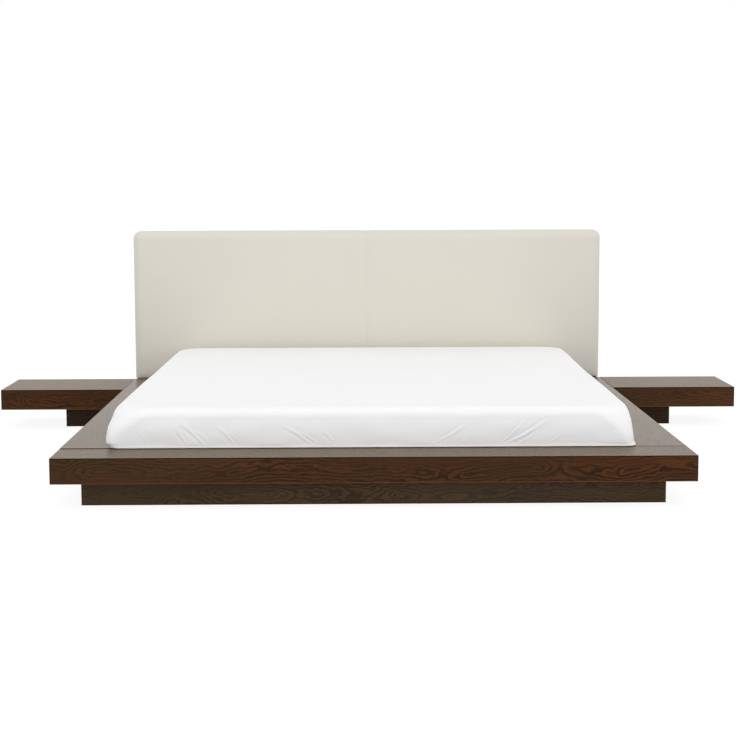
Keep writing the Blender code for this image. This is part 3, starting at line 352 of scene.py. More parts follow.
def veneer(name, axis, box, shift, tones, roughness, warming, rings):
    """Stained crown-cut oak along x or y: nested arches down the middle of each face, with painted sheen on
    the tops and painted shade and highlights at the arrises.
    """
    dark, light = tones
    low, high = box
    middle = (low + high) / 2
    g = Graph(name)
    x, y, z = g.split(g.place)
    along, across = (x, y) if axis == "x" else (y, x)
    upward = g.facing(2)
    s = g.choose(g.facing("xy".index(axis)), along, across)
    t_top = g.less(across, middle[1 if axis == "x" else 0])
    t = g.choose(upward, g.less(z, middle[2]), t_top)
    layer = g.total(g.product(upward, 3.7), shift)
    flat, ring_tone = year_rings(g, s, t, layer, rings)
    band = g.noise(g.stretch(flat, (1.3, 9, 1)), detail=2)
    tone = g.mix(g.rise(band, 0.36, 0.52, 0.30), grey(0.36), ring_tone)

    # Fibres and open pores along the grain
    fibre = g.noise(g.stretch(flat, (14, 420, 1)), detail=3, roughness=0.6)
    streak = g.rise(fibre, 0.32, 0.68)
    pore = g.rise(g.noise(g.stretch(flat, (45, 1300, 1)), detail=1), 0.36, 0.46)
    tone = g.mix(0.20, tone, streak)
    # Painted sheen: level tops get the lighter, yellower top tones
    colour = g.mix(upward, g.mix(tone, dark, light), g.mix(tone, SHEEN_TOP_DARK, SHEEN_TOP_LIGHT))
    slow = g.noise(g.stretch(flat, (1.1, 2.5, 1), (4, 0, 0)), detail=1)
    warm = g.rise(g.total(slow, g.product(s, warming)), 0.38, 0.62)
    olive = (light[0] * 0.52, light[1] * 0.86, light[2] * 1.25)
    colour = g.mix(g.product(g.less(1.0, warm), 0.5), colour, olive)
    colour = g.mix(g.scaled(pore, 0.40, 0), colour, shaded(dark, 0.35))

    # Painted shade in the last millimetres before an arris, strongest at the sides' upper arrises
    arris = arris_distance(g, low, high)
    near = g.rise(g.product(arris, 100), 0.20, 0.46, 1, 0)
    sideways = g.less(1.0, upward)
    upper = g.product(sideways, g.math("GREATER_THAN", z, middle[2]))
    colour = g.mix(g.product(near, g.scaled(upper, 0.15, 0.85)), colour, shaded(dark, 0.45))
    # Painted highlight along the bottom arris of raised boards; painted shadow along the plinths' bottom
    # arris
    lower = g.product(sideways, g.math("LESS_THAN", z, low[2] + 0.0030))
    foot_edge_shading = 1.5 if low[2] > 0.02 else 0.25
    colour = g.mix(g.product(lower, 0.8), colour, shaded(light, foot_edge_shading))
    # Pale rubbed-through wear on the arris itself, partly a painted highlight
    sharp = g.rise(g.product(arris, 1000), 0.3, 0.8, 1, 0)
    rubbed_highlight = g.product(sharp, g.rise(g.noise(g.place, 19, 3), 0.5, 0.62), 0.5)
    colour = g.mix(rubbed_highlight, colour, shaded(light, 2.4))
    return g.done(
        Base_Color=colour,
        Roughness=g.scaled(streak, roughness - 0.05, roughness + 0.08),
        Specular_IOR_Level=0.066,
        Sheen_Weight=0.18,
        Sheen_Roughness=0.30,
        Sheen_Tint=(1.0, 0.75, 0.40),
        Normal=g.relief(g.total(pore, streak, g.product(ring_tone, 0.4)), 0.00010, 0.5),
    )


FACE_STOPS = ((0, (0.50, 0.35, 0.21)), (0.7, (0.62, 0.47, 0.30)), (1, (0.48, 0.33, 0.19)))
PLY_STOPS = (
    (0, (0.20, 0.12, 0.06)), (0.08, (0.55, 0.41, 0.26)), (0.5, (0.57, 0.43, 0.28)),
    (0.56, (0.33, 0.22, 0.13)), (1, (0.38, 0.26, 0.15)),
)


def plywood(name, foot_z):
    """Pale plies: streaked faces, and layers that show on the edges."""
    g = Graph(name)
    z = g.split(g.place)[2]
    streak = g.noise(g.stretch(g.place, (3, 90, 90)), detail=3)
    swirl = g.noise(g.stretch(g.place, (1.2, 9, 9)), detail=2)
    face = g.ramp(g.part(g.product(swirl, 9)), FACE_STOPS)
    face = g.mix(g.scaled(streak, 0, 0.5), face, (0.40, 0.27, 0.15))
    edge = g.ramp(g.part(g.product(g.less(z, foot_z), 330)), PLY_STOPS)
    colour = g.mix(g.facing(2), edge, face)
    return g.done(Base_Color=colour, Roughness=0.72, Normal=g.relief(streak, 0.0003, 0.5))


def leatherette(name, colour):
    """Smooth coated cloth with a fine pebble grain."""
    g = Graph(name)
    pebbles = g.cells(g.place, 780)
    creases = g.cells(g.place, 330, "SMOOTH_F1")
    soft = g.noise(g.place, 2.2, 2)
    shade = g.mix(g.scaled(soft, 0, 0.5), colour, shaded(colour, 0.94))
    shade = g.mix(g.rise(pebbles, 0.25, 0.75, 0, 0.16), shade, shaded(colour, 0.8))
    return g.done(
        Base_Color=shade,
        Roughness=g.scaled(soft, 0.40, 0.48),
        Specular_IOR_Level=0.4,
        Normal=g.relief(g.total(pebbles, g.product(creases, 0.6)), 0.00016, 0.4),
    )


def woven(name, dark, light, threads, relief, sheen=0.2):
    """Cloth: crossing threads, so many to the metre, over slow changes of tone."""
    g = Graph(name)
    x, y, z = g.split(g.place)
    ways = (g.total(x, y), g.total(g.less(x, y), z))
    waves = [g.math("SINE", g.product(way, threads * math.tau)) for way in ways]
    weave = g.scaled(g.product(*waves), 0, 1)
    fluff = g.noise(g.place, threads * 1.7, 3)
    cloud = g.noise(g.place, 3.1, 3)
    tone = g.total(g.product(fluff, 0.6), g.product(cloud, 0.4))
    return g.done(
        Base_Color=g.mix(g.rise(tone, 0.3, 0.7), dark, light),
        Roughness=0.85,
        Specular_IOR_Level=0.2,
        Sheen_Weight=sheen,
        Sheen_Roughness=0.6,
        Normal=g.relief(g.total(weave, fluff), relief, 0.5),
    )


def grained(name, dark, light, roughness, scale, relief, metallic=0.0, stretch=(1, 1, 1), specular=0.5):
    """Moulded, rubbed or pressed stuff: fine grain in colour, gloss and height."""
    g = Graph(name)
    fine = g.noise(g.stretch(g.place, stretch), scale, 3, 0.6)
    slow = g.noise(g.place, 14, 2)
    tone = g.total(g.product(fine, 0.55), g.product(slow, 0.45))
    return g.done(
        Base_Color=g.mix(g.rise(tone, 0.35, 0.65), dark, light),
        Roughness=g.scaled(fine, roughness - 0.06, roughness + 0.06),
        Metallic=metallic,
        Specular_IOR_Level=specular,
        Normal=g.relief(fine, relief, 0.5),
    )


def open_foam(name):
    g = Graph(name)
    pores = g.cells(g.place, 420)
    holes = g.cells(g.place, 1100)
    cloud = g.noise(g.place, 5, 3)
    colour = g.mix(g.rise(pores, 0.15, 0.5, 1, 0), (0.74, 0.70, 0.55), (0.60, 0.55, 0.40))
    colour = g.mix(g.scaled(cloud, 0, 0.4), colour, (0.78, 0.75, 0.62))
    bump = g.relief(g.total(pores, holes), 0.0006, 0.7)
    return g.done(Base_Color=colour, Roughness=0.95, Specular_IOR_Level=0.1, Normal=bump)


def water_vinyl(name):
    """Thick blue film with a fine emboss."""
    g = Graph(name)
    emboss = g.cells(g.place, 520)
    cloud = g.noise(g.place, 4, 3)
    return g.done(
        Base_Color=g.mix(cloud, (0.055, 0.17, 0.36), (0.12, 0.28, 0.50)),
        Roughness=g.scaled(cloud, 0.24, 0.36),
        Coat_Weight=0.3,
        Coat_Roughness=0.2,
        Normal=g.relief(emboss, 0.0002, 0.35),
    )


def heater_film(name, middle, pitch=0.012):
    """Black film with printed carbon strips between two pale side tracks."""
    g = Graph(name)
    x, y, _ = g.split(g.place)
    sideways, lengthways = g.size(g.less(x, middle.x)), g.size(g.less(y, middle.y))
    within = g.math("LESS_THAN", sideways, 0.130), g.math("LESS_THAN", lengthways, 0.275)
    inside = g.product(*within)
    strip = g.math("LESS_THAN", g.part(g.math("DIVIDE", y, pitch)), 0.6)
    track = g.product(inside, g.math("GREATER_THAN", sideways, 0.122))
    printed = g.math("MAXIMUM", g.product(inside, strip), track)
    film = g.mix(g.noise(g.place, 30, 3), (0.045, 0.045, 0.05), (0.075, 0.075, 0.08))
    colour = g.mix(printed, film, (0.16, 0.16, 0.165))
    colour = g.mix(track, colour, (0.52, 0.36, 0.22))
    bump = g.relief(printed, 0.00015, 0.6)
    return g.done(Base_Color=colour, Roughness=g.choose(printed, 0.35, 0.55), Normal=bump)


OAK = ((0.0140, 0.0082, 0.0024), (0.091, 0.0300, 0.0092))
SLAB_OAK = ((0.0155, 0.0085, 0.0024), (0.100, 0.0325, 0.0096))
SHADE_OAK = ((0.033, 0.0185, 0.0075), (0.110, 0.059, 0.0270))
STAND_OAK = ((0.014, 0.0070, 0.0026), (0.058, 0.026, 0.0100))
KNIT = woven("cover_knit", (0.855, 0.858, 0.862), (0.885, 0.886, 0.888), 900, 0.00015)
CASING_CLOTH = woven("casing_cloth", (0.36, 0.37, 0.39), (0.46, 0.47, 0.49), 650, 0.0003)
LINING_CLOTH = woven("lining_cloth", (0.020, 0.020, 0.021), (0.045, 0.044, 0.043), 480, 0.0003, 0.1)
TAPE_CLOTH = woven("zip_tape", (0.70, 0.70, 0.69), (0.80, 0.80, 0.78), 1300, 0.0002)
LEATHER = leatherette("ivory_leatherette", (0.660, 0.632, 0.556))
FOAM = open_foam("open_foam")
FELT = grained("pressed_fleece", (0.48, 0.48, 0.46), (0.68, 0.68, 0.66), 0.9, 260, 0.0008, specular=0.1)
VINYL = water_vinyl("blue_vinyl")
LINER_VINYL = grained("liner_vinyl", (0.45, 0.50, 0.54), (0.58, 0.63, 0.67), 0.32, 120, 0.0002)
WHITE_PLASTIC = grained("white_plastic", (0.72, 0.72, 0.70), (0.80, 0.80, 0.78), 0.36, 900, 0.00004)
BLACK_PLASTIC = grained("black_plastic", (0.014, 0.014, 0.016), (0.026, 0.026, 0.028), 0.48, 1400, 0.00012)
RUBBER = grained("black_rubber", grey(0.012), grey(0.024), 0.58, 700, 0.0001)
RED_LENS = grained("red_lens", (0.42, 0.02, 0.015), (0.55, 0.04, 0.03), 0.18, 500, 0.00002)
NICKEL = grained("nickel", (0.52, 0.53, 0.54), (0.62, 0.62, 0.62), 0.28, 300, 0.00003, 1.0, (1, 6, 6))
ZINC = grained("zinc", (0.50, 0.51, 0.52), (0.64, 0.65, 0.66), 0.38, 90, 0.00005, 1.0)
BLACK_STEEL = grained("black_steel", grey(0.012), grey(0.03), 0.42, 600, 0.00005, 0.6)


# Mesh helpers
class Shape:
    """Sheets of points gathered into one mesh."""

    def __init__(self):
        self.points = []
        self.faces = []

    def add(self, points, faces):
        start = len(self.points)
        self.points.extend(map(tuple, points))
        self.faces.extend(tuple(start + i for i in face) for face in faces)
        return self

    def sheet(self, rows, wrap=False):
        rows = np.asarray(rows, float)
        count, width = rows.shape[:2]
        faces = []
        for a in range(0, (count - 1) * width, width):
            for c in range(width if wrap else width - 1):
                after = (c + 1) % width
                faces.append((a + c, a + after, a + width + after, a + width + c))
        return self.add(rows.reshape(-1, 3), faces)

    def cap(self, outline):
        return self.add(np.asarray(outline, float), [range(len(outline))])

    def copies(self, form, matrices):
        points = np.array([point[:] for point in form[0]], float)
        for matrix in matrices:
            turn = np.array(matrix.to_3x3())
            self.add(points @ turn.T + np.array(matrix.translation), form[1])
        return self

    def mesh(self, name):
        mesh = bpy.data.meshes.new(name)
        mesh.from_pydata(self.points, [], self.faces)
        bm = bmesh.new()
        bm.from_mesh(mesh)
        bmesh.ops.remove_doubles(bm, verts=bm.verts, dist=MERGE)
        bmesh.ops.dissolve_degenerate(bm, edges=bm.edges, dist=MERGE)
        bmesh.ops.recalc_face_normals(bm, faces=bm.faces)
        bm.to_mesh(mesh)
        bm.free()
        return mesh

    def made(self, name, material, slot, body=PLATFORM, angle=40):
        return dressed(name, self.mesh(name), material, body, angle)


def scratch(name, data):
    obj = bpy.data.objects.new(name, data)
    bpy.context.scene.collection.objects.link(obj)
    return obj


def placed(name, data, body=PLATFORM):
    """A piece of the bed from its final mesh or curve."""
    piece = scratch(name, data)
    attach(piece, body)
    return piece


def dressed(name, mesh, material, body=PLATFORM, angle=40):
    """A piece with one material, smooth but for edges over an angle."""
    mesh.materials.clear()
    mesh.materials.append(material)
    mesh.shade_smooth()
    mesh.set_sharp_from_angle(angle=math.radians(angle))
    return placed(name, mesh, body)


def settled(obj):
    """The mesh of a scratch object after its modifiers; the object is removed."""
    graph = bpy.context.evaluated_depsgraph_get()
    mesh = bpy.data.meshes.new_from_object(obj.evaluated_get(graph))
    bpy.data.objects.remove(obj)
    return mesh


def carved(mesh, cutters):
    """The mesh less some cutter meshes."""
    obj = scratch("carving", mesh)
    tools = [scratch("cutter", cutter) for cutter in cutters]
    for tool in tools:
        boolean = obj.modifiers.new("cut", "BOOLEAN")
        boolean.operation = "DIFFERENCE"
        boolean.object = tool
        tool.hide_render = True
    mesh = settled(obj)
    for tool in tools:
        bpy.data.objects.remove(tool)
    return mesh


def unloaded(bm, name):
    mesh = bpy.data.meshes.new(name)
    bm.to_mesh(mesh)
    bm.free()
    return mesh


def block_mesh(low, high, edge=0.0, segments=2):
    low, high = Vector(low), Vector(high)
    bm = bmesh.new()
    bmesh.ops.create_cube(bm, size=1)
    bmesh.ops.scale(bm, vec=high - low, verts=bm.verts)
    bmesh.ops.translate(bm, vec=(low + high) / 2, verts=bm.verts)
    if edge:
        settings = {"offset": edge, "segments": segments, "profile": 0.5, "affect": "EDGES"}
        bmesh.ops.bevel(bm, geom=bm.edges, **settings)
    return unloaded(bm, "block")


def rod_mesh(start, end, radius):
    bm = bmesh.new()
    sizes = {"radius1": radius, "radius2": radius, "depth": (end - start).length}
    bmesh.ops.create_cone(bm, cap_ends=True, segments=32, **sizes)
    turn = Vector((0, 0, 1)).rotation_difference(end - start).to_matrix().to_4x4()
    bmesh.ops.transform(bm, matrix=Matrix.Translation((start + end) / 2) @ turn, verts=bm.verts)
    return unloaded(bm, "rod")


def template(mesh):
    """Points and faces of a small mesh, to be copied many times."""
    return [v.co.copy() for v in mesh.vertices], [tuple(p.vertices) for p in mesh.polygons]


def lathe(profile, segments=32):
    """Points and faces of a turned form about Z: radius and height pairs."""
    angles = [math.tau * step / segments for step in range(segments)]
    rows = [
        [Vector((radius * math.cos(angle), radius * math.sin(angle), height)) for angle in angles]
        for radius, height in profile
    ]
    turned = Shape().sheet(rows, wrap=True)
    return turned.points, turned.faces


def rounded_outline(half_x, half_y, radius, steps, corner_steps=10, back_radius=None):
    """Points and outward directions round a rectangle; steps are for right, back, left, front."""
    points, outward = [], []
    corners = ((1, -1), (1, 1), (-1, 1), (-1, -1))
    radii = [radius if sign_y < 0 else back_radius or radius for _, sign_y in corners]
    for index, (sign_x, sign_y) in enumerate(corners):
        own = radii[index]
        middle = np.array((sign_x * (half_x - own), sign_y * (half_y - own)))
        for step in range(corner_steps + 1):
            angle = QUARTER * (index - 1 + step / corner_steps)
            direction = np.array((math.cos(angle), math.sin(angle)))
            points.append(middle + own * direction)
            outward.append(direction)
        following, reach = corners[(index + 1) % 4], radii[(index + 1) % 4]
        start = points[-1]
        end_middle = np.array((following[0] * (half_x - reach), following[1] * (half_y - reach)))
        end = end_middle + reach * outward[-1]
        for step in range(1, steps[index]):
            points.append(start + (end - start) * step / steps[index])
            outward.append(outward[-1])
    return np.array(points), np.array(outward)


def ripples(u, v, seed, shortest, longest, count=14):
    """Slow waves in all directions, about 1 high."""
    chance = random.Random(seed)
    total = np.zeros_like(u)
    for _ in range(count):
        length = chance.uniform(shortest, longest)
        angle, phase = chance.uniform(0, math.pi), chance.uniform(0, math.tau)
        wave = math.tau / length
        total += np.sin(wave * (u * math.cos(angle) + v * math.sin(angle)) + phase)
    return total / math.sqrt(count)


def crease_field(u, v, creases):
    """Soft creases in a face's own plane: a ridge with a valley on either side."""
    total = np.zeros_like(u)
    for u0, v0, u1, v1, width, depth in creases:
        du, dv = u1 - u0, v1 - v0
        length = math.hypot(du, dv)
        t = np.clip(((u - u0) * du + (v - v0) * dv) / length**2, -0.25, 1.25)
        d = ((u - u0) * dv - (v - v0) * du) / length + 0.004 * np.sin(3 * t)
        window = np.clip(np.sin(math.pi * (t + 0.25) / 1.5), 0, 1) ** 1.5
        spread = width * (0.7 + 0.7 * np.clip(1 - t, 0, 1))
        ridge = np.exp(-((d / spread) ** 2))
        valley = np.exp(-(((d - 1.9 * spread) / (1.1 * spread)) ** 2))
        far_side = np.exp(-(((d + 2.2 * spread) / (1.5 * spread)) ** 2))
        total += depth * window * (ridge - 0.9 * valley - 0.4 * far_side)
    return total


def smooth_share(value):
    value = np.clip(value, 0, 1)
    return value * value * (3 - 2 * value)


def on_spine(points, centre_x, centre_y, spine):
    """Where each point of a ring lands on the line along its middle."""
    target = points.copy()
    target[:, 0] = centre_x
    target[:, 1] = np.clip(points[:, 1], centre_y - spine, centre_y + spine)
    return target


def towards_spine(ring, share):
    """A ring of the casing drawn in towards the line along the bed's middle."""
    return ring + (on_spine(ring, 0, MID_Y, SPINE) - ring) * share


def closed_in(ring, share, spine):
    """A ring drawn in towards the middle line of its own oblong."""
    centre = (ring[:, :2].max(0) + ring[:, :2].min(0)) / 2
    return ring + (on_spine(ring, *centre, spine) - ring) * share


def casing_outline(steps=CASING_STEPS, outset=0.0, radii=(WALL_CORNER, WALL_CORNER)):
    sizes = (WALL_X + outset, WALL_Y + outset, radii[0], steps)
    points, outward = rounded_outline(*sizes, back_radius=radii[1])
    return points + np.array((0, MID_Y)), outward


def ring_at(points, outward, outset, height):
    ring = points + outward * outset
    return np.column_stack((ring, np.full(len(ring), height)))


def rim_of(rows):
    """The points round the edge of a grid."""
    return np.concatenate((rows[0, :-1], rows[:-1, -1], rows[-1, :0:-1], rows[:0:-1, 0]))


def placed_at(spot):
    return Matrix.Translation(spot)


# Mattress cover
def cover_profile():
    """Outset, height and corner radii up the outside: hem, roll, welt, bulge and edge."""
    hem_top = COVER_LOW.z + HEM_HEIGHT
    edge_foot = COVER_HIGH.z - CROWN - EDGE_UP
    wall = (WALL_CORNER, WALL_CORNER)
    profile = [(0, COVER_LOW.z + HEM_HEIGHT * share, wall) for share in (0, 0.5, 1)]
    for step in range(1, 8):
        angle = QUARTER * step / 8
        radius = WALL_CORNER + (FOOT_CORNER - WALL_CORNER) * step / 8
        height = hem_top + ROLL_HEIGHT * math.sin(angle)
        profile.append((ROLL_OUT * (1 - math.cos(angle)), height, (radius, radius)))
    heights = [ROLL_TOP + rise for rise in np.arange(0, 0.0075, 0.0008)]
    heights += list(np.linspace(heights[-1] + 0.002, edge_foot, 32))
    for height in heights:
        share = (height - ROLL_TOP) / (edge_foot - ROLL_TOP)
        swell = BULGE_OUT * (1 - (2 * share - 1) ** 2) - LEAN_IN * share**1.5
        welt = WELT_OUT * smooth_share((height - ROLL_TOP - WELT_RISE) / WELT_RISE)
        profile.append((ROLL_OUT + swell - welt, height, corner_radii(height)))
    side_out = profile[-1][0]
    for inward, upward in edge_curve(18):
        height = edge_foot + EDGE_UP * upward
        profile.append((side_out - EDGE_IN * inward, height, corner_radii(height)))
    return profile


def corner_radii(height):
    """The cover's corners widen from its foot to its top, at the foot end more."""
    share = (height - ROLL_TOP) / (COVER_HIGH.z - CROWN - ROLL_TOP)
    return FOOT_CORNER + (np.array((EDGE_CORNER, HEAD_CORNER)) - FOOT_CORNER) * share**1.7


def lining_radii(height):
    """Corner radii of the cover's inside at a height, a wall's depth within its outside."""
    if height <= ROLL_TOP:
        return np.array((WALL_CORNER, WALL_CORNER))
    return np.maximum(WALL_CORNER, corner_radii(height) - LINING_DEPTH)


def edge_curve(steps):
    """A turn from nearly upright to level that starts and ends softly, 1 in and 1 up."""
    spots = [(0.0, 0.0)]
    for step in range(steps):
        angle = (QUARTER - EDGE_LEAN) * (1 - smooth_share((step + 0.5) / steps))
        inward, upward = spots[-1]
        spots.append((inward + math.cos(angle), upward + math.sin(angle)))
    reach_in, reach_up = spots[-1]
    return [(inward / reach_in, upward / reach_up) for inward, upward in spots[1:]]


def side_creases(seed, half, count):
    """Creases for a side that the photograph doesn't show, leaning in towards its middle."""
    chance = random.Random(seed)
    creases = []
    for _ in range(count):
        u = chance.uniform(0.12, 0.72) * half * chance.choice((-1, 1))
        foot, top = chance.uniform(0.184, 0.195), chance.uniform(0.215, 0.255)
        lean = chance.uniform(0.5, 1.3) * (top - foot)
        width, depth = chance.uniform(0.004, 0.007), chance.uniform(0.0009, 0.0018)
        creases.append((u, top, u - math.copysign(lean, u), foot, width, depth))
    return creases


def drawn_in(x, y, z):
    """How far the mattress's long sides lie to the right of straight ones."""
    upper = smooth_share((z - 0.185) / 0.10)
    lower = smooth_share((z - 0.176) / 0.02)
    left = np.interp(y, *zip(*LEFT_DRIFT)) * smooth_share(-x / 0.9)
    right = np.interp(y, *zip(*RIGHT_DRIFT)) * smooth_share(x / 0.9)
    outwards = left * lower * (1 - 0.6 * smooth_share((z - 0.240) / 0.045))
    return np.where(left > 0, left * upper, outwards) + right * lower


def cover_lining():
    """Rings down the cover's inside, from the foam's top to the hem."""
    rings = []
    for height in (*np.linspace(COVER_CEILING, COVER_LOW.z + HEM_HEIGHT, 9), COVER_LOW.z):
        ring = ring_at(*casing_outline(outset=-FABRIC, radii=lining_radii(height)), 0, height)
        ring[:, 0] += drawn_in(*ring.T)
        rings.append(ring)
    return rings


def cover_outside():
    """Rings up the cover's outside and in over its crown."""
    rows = []
    for out, height, radii in cover_profile():
        rows.append(ring_at(*casing_outline(outset=out, radii=radii), 0, height))
    edge = rows[-1]
    for share in CROWN_SHARES:
        ring = towards_spine(edge, share)
        wave = ripples(ring[:, 0], ring[:, 1], 11, 0.25, 0.9)
        ring[:, 2] += smooth_share(share * 2.2) * CROWN + 0.0008 * wave * min(1, 6 * share)
        rows.append(ring)
    return np.array(rows)


def crumple(outer):
    """Creases and slow waves pushed out of the cover's four sides."""
    outward = casing_outline()[1]
    x, y, z = outer[..., 0], outer[..., 1], outer[..., 2]
    faces = (
        (-outward[:, 1], x, FOOT_CREASES, 21),
        (outward[:, 1], x, side_creases(5, WALL_X, 9), 22),
        (outward[:, 0], y - MID_Y, side_creases(6, WALL_Y, 10), 23),
        (-outward[:, 0], y - MID_Y, side_creases(7, WALL_Y, 10), 24),
    )
    push = np.zeros_like(x)
    for facing, u, creases, seed in faces:
        slow = 0.0008 * ripples(u, z * 2.5, seed, 0.10, 0.45)
        push += np.clip(facing, 0, 1) ** 2 * (crease_field(u, z, creases) + slow)
    live = smooth_share((z - 0.181) / 0.012) * smooth_share((COVER_HIGH.z - 0.002 - z) / 0.03)
    outer[..., :2] += outward * (push * live)[..., None]
    z += smooth_share((z - 0.185) / 0.10) * HEAD_RISE * smooth_share((y - 0.1) / 0.8)
    x += drawn_in(x, y, z)


def make_cover():
    lining, outer = cover_lining(), cover_outside()
    crumple(outer)
    ceiling = [towards_spine(lining[0], share) for share in CROWN_SHARES[::-1]]
    pockets = []
    for side in SIDES.values():
        place = pocket_place(side)
        ends = place - Vector((0, 0, 0.002)), place + Vector((0, 0, POCKET_DEPTH))
        pockets.append(rod_mesh(*ends, POCKET_RADIUS))
    shape = Shape().sheet([*ceiling, *lining, *outer], wrap=True)
    mesh = carved(shape.mesh("mattress_cover"), pockets)
    piece = dressed("mattress_cover", mesh, KNIT, "mattress_cover", 50)
    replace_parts(piece, "top_cover")


def pocket_place(side):
    low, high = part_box("valve_cap_right")
    return Vector((side * (low.x + high.x) / 2, (low.y + high.y) / 2, COVER_CEILING))


def band(points, outward, outsets, heights):
    """Rows of a flat closed band round the casing."""
    (inner, outer), (foot, top) = outsets, heights
    corners = ((inner, foot), (outer, foot), (outer, top), (inner, top), (inner, foot))
    return [ring_at(points, outward, *corner) for corner in corners]


def make_zip():
    low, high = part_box("zip_chain")
    points, outward = casing_outline((200, 180, 200, 180))
    upper = band(points, outward, TAPE, (high.z - TAPE_LAP, high.z - TAPE_LAP + TAPE_REACH))
    tape = Shape().sheet(upper, wrap=True)
    tape.made("zip_tape_upper", TAPE_CLOTH, "zip_plastic", "mattress_cover")
    lower = band(points, outward, TAPE, (low.z - TAPE_REACH, low.z + TAPE_LAP / 2))
    Shape().sheet(lower, wrap=True).made("zip_tape_lower", TAPE_CLOTH, "zip_plastic")

    strides = np.linalg.norm(np.roll(points, -1, 0) - points, axis=1)
    reach = np.concatenate(([0], np.cumsum(strides)))
    closed = np.vstack((points, points[:1]))
    closed_out = np.vstack((outward, outward[:1]))
    count = 2 * int(reach[-1] / TOOTH_PITCH / 2)
    matrices = []
    for index in range(count):
        spot = reach[-1] * index / count
        place = [np.interp(spot, reach, closed[:, axis]) for axis in (0, 1)]
        facing = Vector([np.interp(spot, reach, closed_out[:, axis]) for axis in (0, 1)]).normalized()
        middle = (low.z + high.z) / 2 + (TOOTH_STAGGER if index % 2 else -TOOTH_STAGGER)
        centre = Vector((*place, middle)) + Vector((*facing, 0)) * TOOTH_OUT
        turn = Matrix.Rotation(math.atan2(facing.y, facing.x) + QUARTER, 4, "Z")
        matrices.append(placed_at(centre) @ turn)
    tooth = template(block_mesh(-TOOTH_HALF, TOOTH_HALF, 0.0005, 1))
    chain = Shape().copies(tooth, matrices)
    chain.sheet(band(points, outward, CHAIN_CORE, (low.z, high.z)), wrap=True)
    piece = chain.made("zip_teeth", WHITE_PLASTIC, "zip_plastic")
    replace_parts(piece, "zip_chain")


# Headboard
def edge_stations(reach, steps, across=PAD_ROUND):
    """Distances in from an edge, close together where it turns."""
    turns = [across * (1 - math.cos(QUARTER * step / steps)) for step in range(steps)]
    return turns + [across, reach]


def pad_grid():
    """Where the pad's columns and rows lie before its corners are rounded."""
    half = PAD_HIGH.x
    ends = edge_stations(0.05, 10)
    span = list(np.arange(0.07, half - 0.03, 0.02))
    seam = list(np.arange(-0.028, 0.0281, 0.0014) + half)
    seam = [s for s in seam if s < half - 0.0002] + [half]
    left = np.array(ends + span + seam)
    xs = np.concatenate((left - half, (half - left)[-2::-1]))
    foot = [PAD_LOW.z + r for r in edge_stations(0.045, 6, PAD_FOOT_ROUND)]
    top = [PAD_HIGH.z - r for r in ends][::-1]
    zs = np.array(foot + list(np.linspace(foot[-1] + 0.006, top[0] - 0.006, 110)) + top)
    return np.meshgrid(xs, zs)


def past_edge(x, z):
    """Shares of the edges' rounding that points lie within, across and upward."""
    across = np.clip((np.abs(x) - PAD_HIGH.x) / PAD_ROUND + 1, 0, 1)
    return across, np.clip((z - PAD_HIGH.z) / PAD_ROUND + 1, 0, 1)


def round_corners(x, z):
    """Points near the pad's upper corners moved so that the outline is an arc there."""
    across, upward = past_edge(x, z)
    new_across = across * np.sqrt(1 - upward**2 / 2)
    new_upward = upward * np.sqrt(1 - across**2 / 2)
    both = (across > 0) & (upward > 0)
    x = np.where(both, np.sign(x) * (PAD_HIGH.x - PAD_ROUND * (1 - new_across)), x)
    return x, np.where(both, PAD_HIGH.z - PAD_ROUND * (1 - new_upward), z)


def make_pad():
    x, z = round_corners(*pad_grid())
    across, upward = past_edge(x, z)
    downward = np.clip((PAD_LOW.z - z) / PAD_FOOT_ROUND + 1, 0, 1)
    turned = np.minimum(np.sqrt(across**2 + upward**2), 1)
    level = np.sqrt(np.maximum(0, 1 - turned**2))
    share_x = x / PAD_HIGH.x
    share_z = (z - PAD_LOW.z) / (PAD_HIGH.z - PAD_LOW.z)
    swell = PAD_SWELL * (1 - share_x**2) * (1 - (2 * share_z - 1) ** 2) * level
    tuck = PAD_FOOT_DEPTH * (1 - np.sqrt(np.maximum(0, 1 - downward**2)))
    y = PAD_LOW.y + PAD_SWELL - swell + PAD_ROUND_DEPTH * (1 - level) + tuck * level
    y = y + 0.0005 * ripples(x, z, 31, 0.12, 0.5) * level
    dip = SEAM_DIP * np.exp(-((np.abs(x) / SEAM_SPREAD) ** 1.3))
    dip = dip + VALLEY_DIP * np.exp(-((x / VALLEY_SPREAD) ** 2))
    dip = dip + PUCKER_DIP * np.exp(-np.abs(x) / PUCKER_SPREAD) * np.cos(math.tau * z / STITCH_PITCH)
    rows = np.stack((x, y + dip * level, z - dip * upward), axis=-1)
    back = rows.copy()
    back[..., 1] = PAD_HIGH.y
    rim, far = rim_of(rows), rim_of(back)
    shape = Shape().sheet(rows).sheet(back).sheet([rim, (rim + far) / 2, far], wrap=True)
    piece = shape.made("headboard_leather_pad", LEATHER, "headboard_leather", angle=55)
    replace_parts(piece, "headboard_pad")


def board_outline(high):
    """The back board's outline from one foot over the top to the other, with outward ways."""
    shoulder, reach = high.z - BOARD_CORNER, high.x - BOARD_CORNER
    right = [((high.x, z), (1, 0)) for z in np.linspace(PAD_LOW.z + 0.001, shoulder, 40)]
    for step in range(9):
        way = (math.cos(QUARTER * step / 8), math.sin(QUARTER * step / 8))
        right.append(((reach + BOARD_CORNER * way[0], shoulder + BOARD_CORNER * way[1]), way))
    top = [((x, high.z), (0, 1)) for x in np.linspace(reach, -reach, 120)[1:-1]]
    left = [((-x, z), (-way_x, way_z)) for (x, z), (way_x, way_z) in right[::-1]]
    points, ways = zip(*right, *top, *left)
    return np.array(points), np.array(ways)


